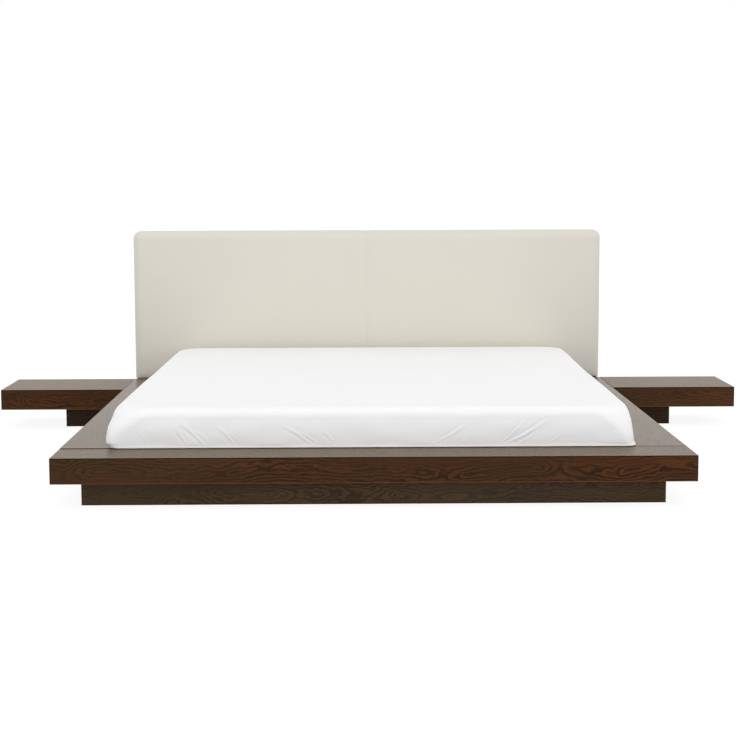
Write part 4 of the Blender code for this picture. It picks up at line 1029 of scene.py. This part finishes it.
def make_turnover():
    """The pad's leatherette turned over the edge of the back board, and its staples."""
    low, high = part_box("headboard_board")
    points, ways = board_outline(high)
    front, back, outer = low.y + 0.0004, high.y, high.y + TURN_THICK
    section = (
        (0.0002, front), (TURN_THICK, front), (TURN_THICK, back),
        (TURN_THICK * 0.7, back + TURN_THICK * 0.7), (0, outer), (-TURN_IN, outer),
        (-TURN_IN - 0.0004, back + TURN_THICK / 2), (-TURN_IN, back + 0.0001),
        (0.0002, back + 0.0001), (0.0002, front),
    )
    rows = []
    wave = 0.0004 * ripples(points[:, 0] * 3, points[:, 1] * 3, 41, 0.1, 0.5)
    for outset, y in section:
        spot = points + ways * outset
        loose = outset < -0.01 and y > back + TURN_THICK / 2
        rows.append(np.column_stack((spot[:, 0], y + np.abs(wave) * loose, spot[:, 1])))
    rows = np.array(rows)
    shape = Shape().sheet(rows).cap(rows[:-1, 0]).cap(rows[:-1, -1])
    shape.made("leather_turnover", LEATHER, "headboard_leather")

    matrices = []
    lengths = np.concatenate(([0], np.cumsum(np.linalg.norm(np.diff(points, axis=0), axis=1))))
    for spot in np.arange(0.03, lengths[-1], STAPLE_PITCH):
        place = [np.interp(spot, lengths, points[:, axis]) for axis in (0, 1)]
        way = Vector([np.interp(spot, lengths, ways[:, axis]) for axis in (0, 1)]).normalized()
        x, z = [place[axis] - way[axis] * STAPLE_INSET for axis in (0, 1)]
        turn = Matrix.Rotation(QUARTER - math.atan2(way.y, way.x), 4, "Y")
        matrices.append(placed_at((x, outer + 0.0004, z)) @ turn)
    Shape().copies(staple_template(), matrices).made("back_staples", ZINC, "plate_steel")


def make_lining():
    """A dark dust cloth over the back board, hemmed, inside the turnover."""
    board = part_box("headboard_board")[1]
    half, foot, top = board.x - LINING_INSET, PAD_LOW.z + 0.012, board.z - LINING_INSET
    x, z = np.meshgrid(np.linspace(-half, half, 150), np.linspace(foot, top, 54))
    rim = np.minimum(np.minimum(x + half, half - x), np.minimum(z - foot, top - z))
    slack = smooth_share(rim / 0.05) * (1 + ripples(x, z, 45, 0.12, 0.7) / 3)
    hem = 0.0006 * (1 - smooth_share((rim - LINING_HEM) / 0.002))
    front = np.stack((x, board.y + 0.0012 + hem + 0.0011 * slack, z), axis=-1)
    back = front.copy()
    back[..., 1] = board.y + 0.0001
    shape = Shape().sheet(front).sheet(back).sheet([rim_of(front), rim_of(back)], wrap=True)
    shape.made("back_lining", LINING_CLOTH, "headboard_back_cloth", angle=60)


def staple_template():
    """A staple's crown along X with its legs towards -Y."""
    staple = Shape()
    staple.add(*template(block_mesh((-0.0055, -0.0003, -0.0006), (0.0055, 0.0005, 0.0006), 0.0002, 1)))
    for x in (-0.0052, 0.0052):
        leg = block_mesh((x - 0.0004, -0.0020, -0.0005), (x + 0.0004, 0.0002, 0.0005))
        staple.add(*template(leg))
    return staple.points, staple.faces


# Casing base, foam, mats and liners
def make_base():
    low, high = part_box("base_cover")
    points, outward = casing_outline((150, 140, 150, 140))
    floor_top = low.z + 0.003
    foot = ring_at(points, outward, -0.004, low.z)
    rows = [towards_spine(foot, share) for share in FLOOR_SHARES[::-1]] + [foot]
    rows.append(ring_at(points, outward, -0.0012, low.z + 0.0012))
    rows.append(ring_at(points, outward, 0, low.z + 0.004))
    for height in np.linspace(low.z + 0.009, high.z - 0.002, 8):
        ring = ring_at(points, outward, 0, height)
        u = ring[:, 0] * np.abs(outward[:, 1]) + ring[:, 1] * np.abs(outward[:, 0])
        slack = 0.0007 * (ripples(u, np.full(len(u), height * 3), 51, 0.06, 0.3) - 1.5)
        ring[:, :2] += outward * slack[:, None]
        rows.append(ring)
    lip = (
        (-0.0008, high.z), (-FABRIC + 0.0008, high.z), (-FABRIC, high.z - 0.0012),
        (-FABRIC, floor_top),
    )
    rows += [ring_at(points, outward, *corner) for corner in lip]
    rows += [towards_spine(rows[-1], share) for share in FLOOR_SHARES]
    holes = []
    for side in SIDES.values():
        x, y = side * LEAD_X, LEAD_DROP_Y - LEAD_BEND / 2
        ends = Vector((x, y, low.z - 0.002)), Vector((x, y, floor_top + 0.002))
        holes.append(rod_mesh(*ends, LEAD_HOLE))
    mesh = carved(Shape().sheet(rows, wrap=True).mesh("casing_base"), holes)
    piece = dressed("casing_base", mesh, CASING_CLOTH)
    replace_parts(piece, "base_cover")


def softened(node, radius, pitch, segments=4):
    """A copy of a CAD node's solid with rounded edges, its faces divided by a grid."""
    bm = bmesh.new()
    bm.from_mesh(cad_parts[node].data)
    bmesh.ops.dissolve_limit(bm, angle_limit=math.radians(1), verts=bm.verts, edges=bm.edges)
    sharp = [e for e in bm.edges if e.is_manifold and e.calc_face_angle() > math.radians(30)]
    settings = {"segments": segments, "profile": 0.5, "affect": "EDGES", "clamp_overlap": True}
    bmesh.ops.bevel(bm, geom=sharp, offset=radius, **settings)
    low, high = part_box(node)
    for index in range(3):
        count = int((high[index] - low[index]) / pitch)
        for step in range(1, count):
            spot, way = Vector((0, 0, 0)), Vector((0, 0, 0))
            spot[index] = low[index] + (high[index] - low[index]) * step / count
            way[index] = 1
            parts = bm.verts[:] + bm.edges[:] + bm.faces[:]
            bmesh.ops.bisect_plane(bm, geom=parts, dist=MERGE, plane_co=spot, plane_no=way)
    bmesh.ops.remove_doubles(bm, verts=bm.verts, dist=MERGE)
    return unloaded(bm, node)


def values_of(mesh, key):
    values = np.zeros(len(mesh.vertices) * 3)
    mesh.vertices.foreach_get(key, values)
    return values.reshape(-1, 3)


def moved(mesh, place):
    mesh.vertices.foreach_set("co", place.ravel())
    mesh.update()
    return mesh


def shifted(mesh, seed, amount, shortest, longest):
    """Small unevenness along the mesh's own normals."""
    place, normal = values_of(mesh, "co"), values_of(mesh, "normal")
    wave = ripples(place[:, 0] + place[:, 2], place[:, 1] - place[:, 2], seed, shortest, longest)
    return moved(mesh, place + normal * (amount * (wave - 1.6))[:, None])


def fitted(mesh):
    """Foam kept within the cover: its outer corners rounded and its left face drawn in."""
    place = values_of(mesh, "co")
    x, y, z = place.T
    radii = np.array([lining_radii(height) for height in z])
    radius = np.where(y > MID_Y, radii[:, 1], radii[:, 0])
    half_x, half_y = WALL_X - FABRIC - FOAM_SLACK, WALL_Y - FABRIC - FOAM_SLACK
    across = np.clip((np.abs(x) - half_x) / radius + 1, 0, 1)
    along = np.clip((np.abs(y - MID_Y) - half_y) / radius + 1, 0, 1)
    place[:, 0] -= np.sign(x) * radius * across * (1 - np.sqrt(1 - along**2 / 2))
    place[:, 1] -= np.sign(y - MID_Y) * radius * along * (1 - np.sqrt(1 - across**2 / 2))
    outer = smooth_share((-place[:, 0] - 0.74) / 0.13)
    place[:, 0] += outer * np.maximum(drawn_in(*place.T), 0)
    return moved(mesh, place)


def make_foam():
    names = ("foam_side_left", "foam_side_right", "foam_end_foot", "foam_end_head", "foam_divider")
    for index, node in enumerate(names):
        mesh = fitted(shifted(softened(node, 0.009, 0.025), 60 + index, 0.0006, 0.06, 0.35))
        piece = dressed(f"{node}_block", mesh, FOAM, angle=50)
        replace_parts(piece, node)


def make_mats():
    mesh = shifted(softened("insulation_mat", 0.0012, 0.035, 2), 71, 0.00015, 0.03, 0.2)
    piece = dressed("insulation_fleece", mesh, FELT)
    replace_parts(piece, "insulation_mat")
    for word in SIDES:
        make_heater(word)


FILM_CORNER = 0.012
HEATER_STEPS = (20, 12, 20, 12)


def make_heater(word):
    """A heating film with a welded border and carbon strips."""
    node = f"heater_mat_{word}"
    low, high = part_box(node)
    middle = (low + high) / 2
    half_x, half_y = (high.x - low.x) / 2, (high.y - low.y) / 2
    points, outward = rounded_outline(half_x, half_y, FILM_CORNER, HEATER_STEPS, 6)
    points = points + np.array((middle.x, middle.y))
    top = high.z - 0.0009
    section = (
        (-0.0012, low.z), (-0.0002, low.z + 0.0006), (0, low.z + 0.0012), (-0.0004, top - 0.0004),
        (-0.0012, top), (-0.0080, top), (-0.0095, high.z - 0.0004), (-0.0115, high.z),
    )
    rows = [ring_at(points, outward, *pair) for pair in section]
    under, over = [on_spine(ring, middle.x, middle.y, 0) for ring in (rows[0], rows[-1])]
    shape = Shape().sheet([under, *rows, over], wrap=True)
    film = heater_film(f"heater_film_{word}", middle)
    piece = shape.made(f"heater_film_{word}", film, "heater_film")
    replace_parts(piece, node)


def plan_at(node, level):
    """The x and y extent of a tapered CAD solid's points at a height."""
    near = [v.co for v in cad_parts[node].data.vertices if abs(v.co.z - level) < 0.0002]
    xs, ys = [p.x for p in near], [p.y for p in near]
    return min(xs), max(xs), min(ys), max(ys)


def tapered_ring(plans, heights, share, inset, radius, steps, corner_steps):
    """A ring on the walls of a tapered box, a share of the way up, with outward ways."""
    x0, x1, y0, y1 = [a + (b - a) * share for a, b in zip(*plans)]
    points, outward = rounded_outline((x1 - x0) / 2, (y1 - y0) / 2, radius, steps, corner_steps)
    points = points + np.array(((x0 + x1) / 2, (y0 + y1) / 2))
    height = heights[0] + (heights[1] - heights[0]) * share
    return ring_at(points, outward, -inset, height), outward


LINER_FILM = 0.0005
LINER_SLACK = 0.0002
LINER_STEPS = (60, 24, 60, 24)


def make_liner(word):
    """A thin tray between foam and water: floor, leaning walls and a loose rim."""
    node = f"safety_liner_{word}"
    low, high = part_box(node)
    foot, rim = plan_at(node, low.z), plan_at(node, high.z)
    plans, heights = (foot, rim), (low.z, high.z)
    outer = []
    for share in np.arange(10) / 9:
        ring, outward = tapered_ring(plans, heights, share, LINER_SLACK, FILM_CORNER, LINER_STEPS, 6)
        outer.append(ring)
    outer[-1][:, 2] += 0.0012 * ripples(outer[-1][:, 0], outer[-1][:, 1], 81, 0.06, 0.3)
    inner = [ring - np.pad(outward, ((0, 0), (0, 1))) * LINER_FILM for ring in outer[::-1]]
    inner[-1][:, 2] = low.z + LINER_FILM
    width, length = foot[1] - foot[0], foot[3] - foot[2]
    spine = (length - width) / 2
    under = [closed_in(outer[0], share, spine) for share in (1, 0.6, 0.3, 0.1)]
    over = [closed_in(inner[-1], share, spine) for share in (0.1, 0.3, 0.6, 1)]
    shape = Shape().sheet(under + outer + inner + over, wrap=True)
    piece = shape.made(f"liner_{word}", LINER_VINYL, "liner_vinyl")
    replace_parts(piece, node)


BAG_STEPS = (130, 50, 130, 50)
BAG_CORNER = 0.03
BAG_TOP_CORNER = 0.04
BAG_SLACK = 0.0006
BAG_ROUND = 0.028
BAG_SHOULDER = 0.004
BAG_FOOT_IN = 0.004
BAG_CROWN = 0.0014
BAG_RIPPLE = 0.0007
WALL_SHARES = (0.02, 0.06, 0.15, 0.3, 0.45, 0.6, 0.72, 0.80)
WELD = {0.046: 0.0, 0.048: 0.0007, 0.052: 0.0009, 0.068: 0.0009, 0.072: 0.0007, 0.074: 0.0}
BAG_TOP_SHARES = (0.02, *WELD, 0.09, 0.12, 0.16, 0.21, 0.28, 0.36, 0.45, 0.55, 0.67, 0.82, 1)
NECK = (
    (0.0, 0.0041), (0.0120, 0.0041), (0.0150, 0.0036), (0.0150, -0.0010), (0.0165, -0.0022),
    (0.0300, -0.0028), (0.0310, -0.0040),
)


def make_core(word, side):
    """A water bag: rounded edges, a soft crown, slack ripples and a welded seam."""
    node = f"water_core_{word}"
    low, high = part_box(node)
    shoulder = high.z - BAG_SHOULDER
    foot, rim = plan_at(node, low.z), plan_at(node, shoulder)
    spine = (foot[3] - foot[2]) / 2 - (foot[1] - foot[0]) / 2

    def ring(share, inset, radius):
        return tapered_ring((foot, rim), (low.z, shoulder), share, inset, radius, BAG_STEPS, 8)[0]

    base = ring(0, BAG_FOOT_IN, BAG_CORNER)
    rows = [closed_in(base, share, spine) for share in (1, 0.5, 0.15)] + [base]
    rows += [ring(share, BAG_SLACK, BAG_CORNER) for share in WALL_SHARES]
    for step in range(1, 10):
        angle = QUARTER * step / 9
        inset = BAG_SLACK + BAG_ROUND * (1 - math.cos(angle))
        rows.append(ring(0.80 + 0.185 * math.sin(angle), inset, BAG_TOP_CORNER))
    edge = rows[-1]
    for share in BAG_TOP_SHARES:
        inner = closed_in(edge, share, spine)
        wave = ripples(inner[:, 0], inner[:, 1], 90 + side, 0.10, 0.45)
        crown = BAG_CROWN * smooth_share(share * 3) + WELD.get(share, 0)
        inner[:, 2] = edge[0, 2] + crown + BAG_RIPPLE * wave * min(1, share * 9)
        rows.append(inner)
    place = pocket_place(side)
    shape = Shape().sheet(rows, wrap=True)
    shape.copies(lathe(NECK, 40), [placed_at((place.x, place.y, shoulder))])
    piece = shape.made(f"water_bag_{word}", VINYL, "core_vinyl", angle=50)
    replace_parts(piece, node)


# Leads and controllers
def lead_points(side):
    bend = LEAD_BEND
    part = bend * (1 - math.sqrt(1 / 2))
    x, drop, run, top, low = LEAD_X, LEAD_DROP_Y, LEAD_RUN_Y, LEAD_TOP_Z, LEAD_LOW_Z
    corners = [
        (x, LEAD_START_Y, top), (x, (LEAD_START_Y + drop) / 2, top), (x, drop - 2 * bend, top),
        (x, drop - bend, top), (x, drop - part, top - part), (x, drop, top - bend),
        (x, drop, low + bend), (x, drop + part, low + part), (x, drop + bend, low),
        (x, (drop + run) / 2, low), (x, run - bend, low), (x + part, run - part, low),
        (x + bend, run, low), (0.45, run, low), (0.71, run, low), (0.99, run, low),
        (1.35, run, low), (LEAD_END_X, run, low),
    ]
    return [Vector((side * px, py, pz)) for px, py, pz in corners]


def smooth_route(points, steps):
    """A centripetal curve through the points."""
    padded = [2 * points[0] - points[1], *points, 2 * points[-1] - points[-2]]
    route = []
    for before, start, end, after in zip(padded, padded[1:], padded[2:], padded[3:]):
        gaps = [(b - a).length ** 0.5 for a, b in ((before, start), (start, end), (end, after))]
        t1 = gaps[0]
        t2 = t1 + gaps[1]
        t3 = t2 + gaps[2]
        for step in range(steps):
            t = t1 + (t2 - t1) * step / steps
            a1, a2 = before.lerp(start, t / t1), start.lerp(end, (t - t1) / (t2 - t1))
            a3 = end.lerp(after, (t - t2) / (t3 - t2))
            b1, b2 = a1.lerp(a2, t / t2), a2.lerp(a3, (t - t1) / (t3 - t1))
            route.append(b1.lerp(b2, (t - t1) / (t2 - t1)))
    return route + [points[-1]]


def make_lead(word, side):
    route = smooth_route(lead_points(side), 6)
    curve = bpy.data.curves.new(f"lead_{word}", "CURVE")
    curve.dimensions = "3D"
    curve.bevel_depth = LEAD_RADIUS
    curve.bevel_resolution = 4
    curve.use_fill_caps = True
    spline = curve.splines.new("POLY")
    spline.points.add(len(route) - 1)
    for target, point in zip(spline.points, route):
        target.co = (*point, 1)
    curve.materials.append(RUBBER)
    piece = placed(f"lead_{word}", curve)
    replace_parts(piece, f"heater_lead_{word}")


def make_screws(name, radius, height, spots):
    """Pan heads under level surfaces, each with a round socket."""
    shares = ((0, 0.45), (0.42, 0.45), (0.46, 0.96), (0.62, 1), (0.86, 0.86), (1, 0.45), (1, 0.06), (0.96, 0))
    head = lathe([(radius * across, -height * down) for across, down in shares], 24)
    shape = Shape().copies(head, [placed_at(spot) for spot in spots])
    shape.made(name, ZINC, "plate_steel", angle=35)


def make_clips(word, side):
    """Saddle clips that hold one lead under the deck and the nightstand, with their screws."""
    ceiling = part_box("deck_panel_head")[0].z - 0.0001
    outline = strap_outline(LEAD_RADIUS + CLIP_PLAY, ceiling)
    shape, spots = Shape(), []
    for x in CLIP_X:
        ends = (side * x - CLIP_WIDE / 2, side * x + CLIP_WIDE / 2)
        loops = [[(end, LEAD_RUN_Y + y, z) for y, z in outline] for end in ends]
        shape.sheet(loops, wrap=True).cap(loops[0]).cap(loops[1])
        for reach in (CLIP_SCREW_IN - CLIP_HALF, CLIP_HALF - CLIP_SCREW_IN):
            spots.append((side * x, LEAD_RUN_Y + reach, ceiling - CLIP_THICK))
    shape.made(f"lead_clips_{word}", WHITE_PLASTIC, "case_plastic", angle=35)
    make_screws(f"lead_clip_screws_{word}", *CLIP_SCREW, spots)


def strap_outline(grip, ceiling):
    """The closed outline of a clip's strap across the lead: tab, leg, bend, leg and tab."""
    sides = []
    for reach, top in ((grip + CLIP_THICK, ceiling - CLIP_THICK), (grip, ceiling)):
        turns = [math.pi * (1 + step / 12) for step in range(13)]
        bend = [(reach * math.cos(turn), LEAD_LOW_Z + reach * math.sin(turn)) for turn in turns]
        sides.append([(-CLIP_HALF, top), (-reach, top), *bend, (reach, top), (CLIP_HALF, top)])
    return sides[0] + sides[1][::-1]


def make_reliefs(word, side):
    """A ribbed, tapered sleeve at the controller and a moulded splice on the heater."""
    length, wide, narrow, ribs = 0.030, 0.0054, LEAD_RADIUS + 0.0005, 9
    profile = [(narrow - 0.0004, length)]
    for step in range(4 * ribs, -1, -1):
        share = step / (4 * ribs)
        groove = 0.0007 if step % 4 in (1, 2) and 3 < step < 4 * ribs - 2 else 0
        profile.append((wide + (narrow - wide) * share - groove, length * share))
    profile += [(wide + 0.0012, 0.0), (wide + 0.0012, -0.0002), (0.0, -0.0002)]
    turn = Matrix.Rotation(-QUARTER * side, 4, "Y")
    spot = placed_at((side * LEAD_END_X, LEAD_RUN_Y, LEAD_LOW_Z)) @ turn
    Shape().copies(lathe(profile, 28), [spot]).made(f"strain_relief_{word}", RUBBER, "lead_rubber")

    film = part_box(f"heater_mat_{word}")[1]
    low = (side * LEAD_X - 0.012, film.y - 0.030, film.z - 0.0025)
    high = (side * LEAD_X + 0.012, film.y - 0.0004, film.z + 0.0006)
    splice = block_mesh(low, high, 0.0008, 3)
    dressed(f"heater_splice_{word}", splice, RUBBER)


def make_controller_details(word, side):
    """Scale marks round the dial, a lens and ear screws on one controller, and corner screws."""
    low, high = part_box(f"control_case_{word}")
    ys = (low.y + EAR_SCREW_IN, high.y - EAR_SCREW_IN)
    spots = [((low.x + high.x) / 2, y, high.z - EAR_THICK) for y in ys]
    make_screws(f"controller_screws_{word}", *EAR_SCREW, spots)
    low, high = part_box(f"corner_plate_{word}")
    xs = (low.x + PLATE_SCREW_IN[0], high.x - PLATE_SCREW_IN[0])
    ys = (low.y + PLATE_SCREW_IN[1], high.y - PLATE_SCREW_IN[1])
    make_screws(f"corner_screws_{word}", *CORNER_SCREW, [(x, y, low.z) for x in xs for y in ys])

    dial = placed_at((side * PANEL_X, DIAL_Y, LEAD_LOW_Z)) @ Matrix.Scale(side, 4, (1, 0, 0))
    tick = template(block_mesh((-0.0001, -0.0004, 0.0137), (0.0004, 0.0004, 0.0158), 0.0001, 1))
    angles = [DIAL_SWEEP * (step / (DIAL_MARKS - 1) - 0.5) for step in range(DIAL_MARKS)]
    marks = [dial @ Matrix.Rotation(math.radians(angle), 4, "X") for angle in angles]
    Shape().copies(tick, marks).made(f"dial_marks_{word}", WHITE_PLASTIC, "dial_plastic")

    bead = lathe([(0.0, 0.0012), (0.0011, 0.0010), (0.0018, 0.0004), (0.0020, -0.0010)], 20)
    spot = placed_at((side * PANEL_X, LAMP_Y, LEAD_LOW_Z)) @ Matrix.Rotation(QUARTER * side, 4, "Y")
    Shape().copies(bead, [spot]).made(f"lamp_lens_{word}", RED_LENS, "case_plastic")


# Boards and the finishes of the CAD nodes that stay
def board(node, axis, tones, shift, roughness, warming):
    """A veneered board: the solid's own shape with its arrises rounded over."""
    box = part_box(node)
    obj = scratch("board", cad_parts[node].data.copy())
    for vertex in obj.data.vertices:
        if vertex.co.z > box[1].z - MERGE:
            vertex.co.z += PROUD.get(node, 0)
    obj.data.shade_smooth()
    merge = obj.modifiers.new("merge", "DECIMATE")
    merge.decimate_type = "DISSOLVE"
    merge.angle_limit = math.radians(1)
    bevel = obj.modifiers.new("arris", "BEVEL")
    bevel.width = 0.0016
    bevel.segments = 3
    bevel.limit_method = "ANGLE"
    bevel.angle_limit = math.radians(40)
    weigh = obj.modifiers.new("flat", "WEIGHTED_NORMAL")
    weigh.weight = 100
    weigh.keep_sharp = True
    mesh = settled(obj)
    rings = 112 if tones is SHADE_OAK else 84
    mesh.materials.clear()
    mesh.materials.append(veneer(f"veneer_{node}", axis, box, shift, tones, roughness, warming, rings))
    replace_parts(placed(f"{node}_veneered", mesh), node)


def make_boards():
    boards = [
        ("front_rail", "x", OAK, 0.24), ("side_rail_left", "y", OAK, 0.20),
        ("side_rail_right", "y", OAK, 0.20), ("head_rail", "x", OAK, 0.34),
        ("nightstand_left", "x", SLAB_OAK, 0.28), ("nightstand_right", "x", SLAB_OAK, 0.28),
    ]
    plinths = {"plinth_front": "x", "plinth_back": "x", "plinth_side_left": "y", "plinth_side_right": "y"}
    for node, axis in {**plinths, "headboard_foot": "x"}.items():
        boards.append((node, axis, SHADE_OAK, 0.40))
    for word in SIDES:
        for part, axis in (("front", "x"), ("back", "x"), ("end", "y")):
            boards.append((f"nightstand_plinth_{part}_{word}", axis, STAND_OAK, 0.40))
    for index, (node, axis, tones, roughness) in enumerate(boards):
        board(node, axis, tones, 1.37 * index, roughness, 0.14 if node == "front_rail" else 0.0)


def assign(node, material):
    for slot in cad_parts[node].material_slots:
        slot.material = material


def finish_hardware():
    deck_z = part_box("deck_panel_foot")[0].z
    for node in ("deck_panel_foot", "deck_panel_head"):
        assign(node, plywood(f"plywood_{node}", deck_z))
    bearer_ply = plywood("plywood_bearers", 0)
    for end in ("foot", "middle", "head"):
        assign(f"cross_bearer_{end}", bearer_ply)
    assign("headboard_board", LINING_CLOTH)
    assign("zip_slider", NICKEL)
    assign("zip_puller", NICKEL)
    pairs = {
        "long_bearer": bearer_ply, "valve_cap": WHITE_PLASTIC, "control_case": BLACK_PLASTIC,
        "control_switch": BLACK_PLASTIC, "control_dial": WHITE_PLASTIC, "corner_plate": ZINC,
        "headboard_bolt": ZINC, "plinth_screw": BLACK_STEEL,
    }
    for name, material in pairs.items():
        for word in SIDES:
            assign(f"{name}_{word}", material)


# Floor, light and camera
def seen_ray(g):
    """1 for rays that show a background: straight from the camera, mirrored or through glass."""
    path = g.node("ShaderNodeLightPath").outputs
    total = path["Is Camera Ray"]
    for name in ("Is Glossy Ray", "Is Transmission Ray"):
        total = g.math("MAXIMUM", total, path[name])
    return total


def make_floor():
    reach = (FLOOR_SIZE, FLOOR_SIZE, 0)
    floor = scratch("floor", block_mesh((-FLOOR_SIZE, -FLOOR_SIZE, -0.02), reach))
    material = bpy.data.materials.new("floor")
    material.use_nodes = True
    g = Wiring(material.node_tree)
    g.tree.nodes.clear()
    lit = g.node("ShaderNodeBsdfDiffuse", {"Color": grey(FLOOR_LIT)}).outputs[0]
    seen = g.node("ShaderNodeBsdfDiffuse", {"Color": grey(FLOOR_SEEN)}).outputs[0]
    glow = g.node("ShaderNodeEmission", {"Strength": FLOOR_GLOW}).outputs[0]
    both = g.node("ShaderNodeAddShader", {0: seen, 1: glow}).outputs[0]
    mixed = g.node("ShaderNodeMixShader", {0: seen_ray(g), 1: lit, 2: both}).outputs[0]
    g.node("ShaderNodeOutputMaterial", {"Surface": mixed})
    floor.data.materials.append(material)


def make_world():
    world = bpy.data.worlds.new("studio")
    bpy.context.scene.world = world
    world.use_nodes = True
    g = Wiring(world.node_tree)
    g.tree.nodes.clear()
    levels = (SKY_LEVEL, 1.0)
    skies = [{"Color": grey(1), "Strength": level} for level in levels]
    lights, shown = [g.node("ShaderNodeBackground", sky).outputs[0] for sky in skies]
    mixed = g.node("ShaderNodeMixShader", {0: seen_ray(g), 1: lights, 2: shown}).outputs[0]
    g.node("ShaderNodeOutputWorld", {"Surface": mixed})


def make_lamps():
    for name, (strength, width, source) in SUNS.items():
        lamp = bpy.data.lights.new(name, "SUN")
        lamp.energy = strength
        lamp.angle = math.radians(width)
        holder = scratch(name, lamp)
        holder.rotation_euler = Vector(source).to_track_quat("Z", "Y").to_euler()


def make_camera():
    level_reach = math.cos(CAMERA_PITCH)
    ahead = (math.sin(CAMERA_YAW) * level_reach, math.cos(CAMERA_YAW) * level_reach)
    forward = Vector((*ahead, -math.sin(CAMERA_PITCH)))
    level = forward.cross(Vector((0, 0, 1))).normalized()
    upright = level.cross(forward)
    right = math.cos(CAMERA_ROLL) * level + math.sin(CAMERA_ROLL) * upright
    up = math.cos(CAMERA_ROLL) * upright - math.sin(CAMERA_ROLL) * level
    data = bpy.data.cameras.new("camera")
    data.lens = CAMERA_LENS
    data.sensor_width = CAMERA_SENSOR
    camera = scratch("camera", data)
    turn = Matrix((right, up, -forward)).transposed().to_4x4()
    camera.matrix_world = placed_at(CAMERA_PLACE) @ turn
    bpy.context.scene.camera = camera


make_camera()
make_floor()
make_world()
make_lamps()
for side_word, side_sign in SIDES.items():
    make_lead(side_word, side_sign)
make_cover()
make_zip()
make_pad()
make_turnover()
make_lining()
make_base()
make_foam()
make_mats()
for side_word, side_sign in SIDES.items():
    make_liner(side_word)
    make_core(side_word, side_sign)
    make_clips(side_word, side_sign)
    make_reliefs(side_word, side_sign)
    make_controller_details(side_word, side_sign)
make_boards()
finish_hardware()

settings = bpy.context.scene.view_settings
settings.view_transform = "Standard"
bpy.context.view_layer.update()
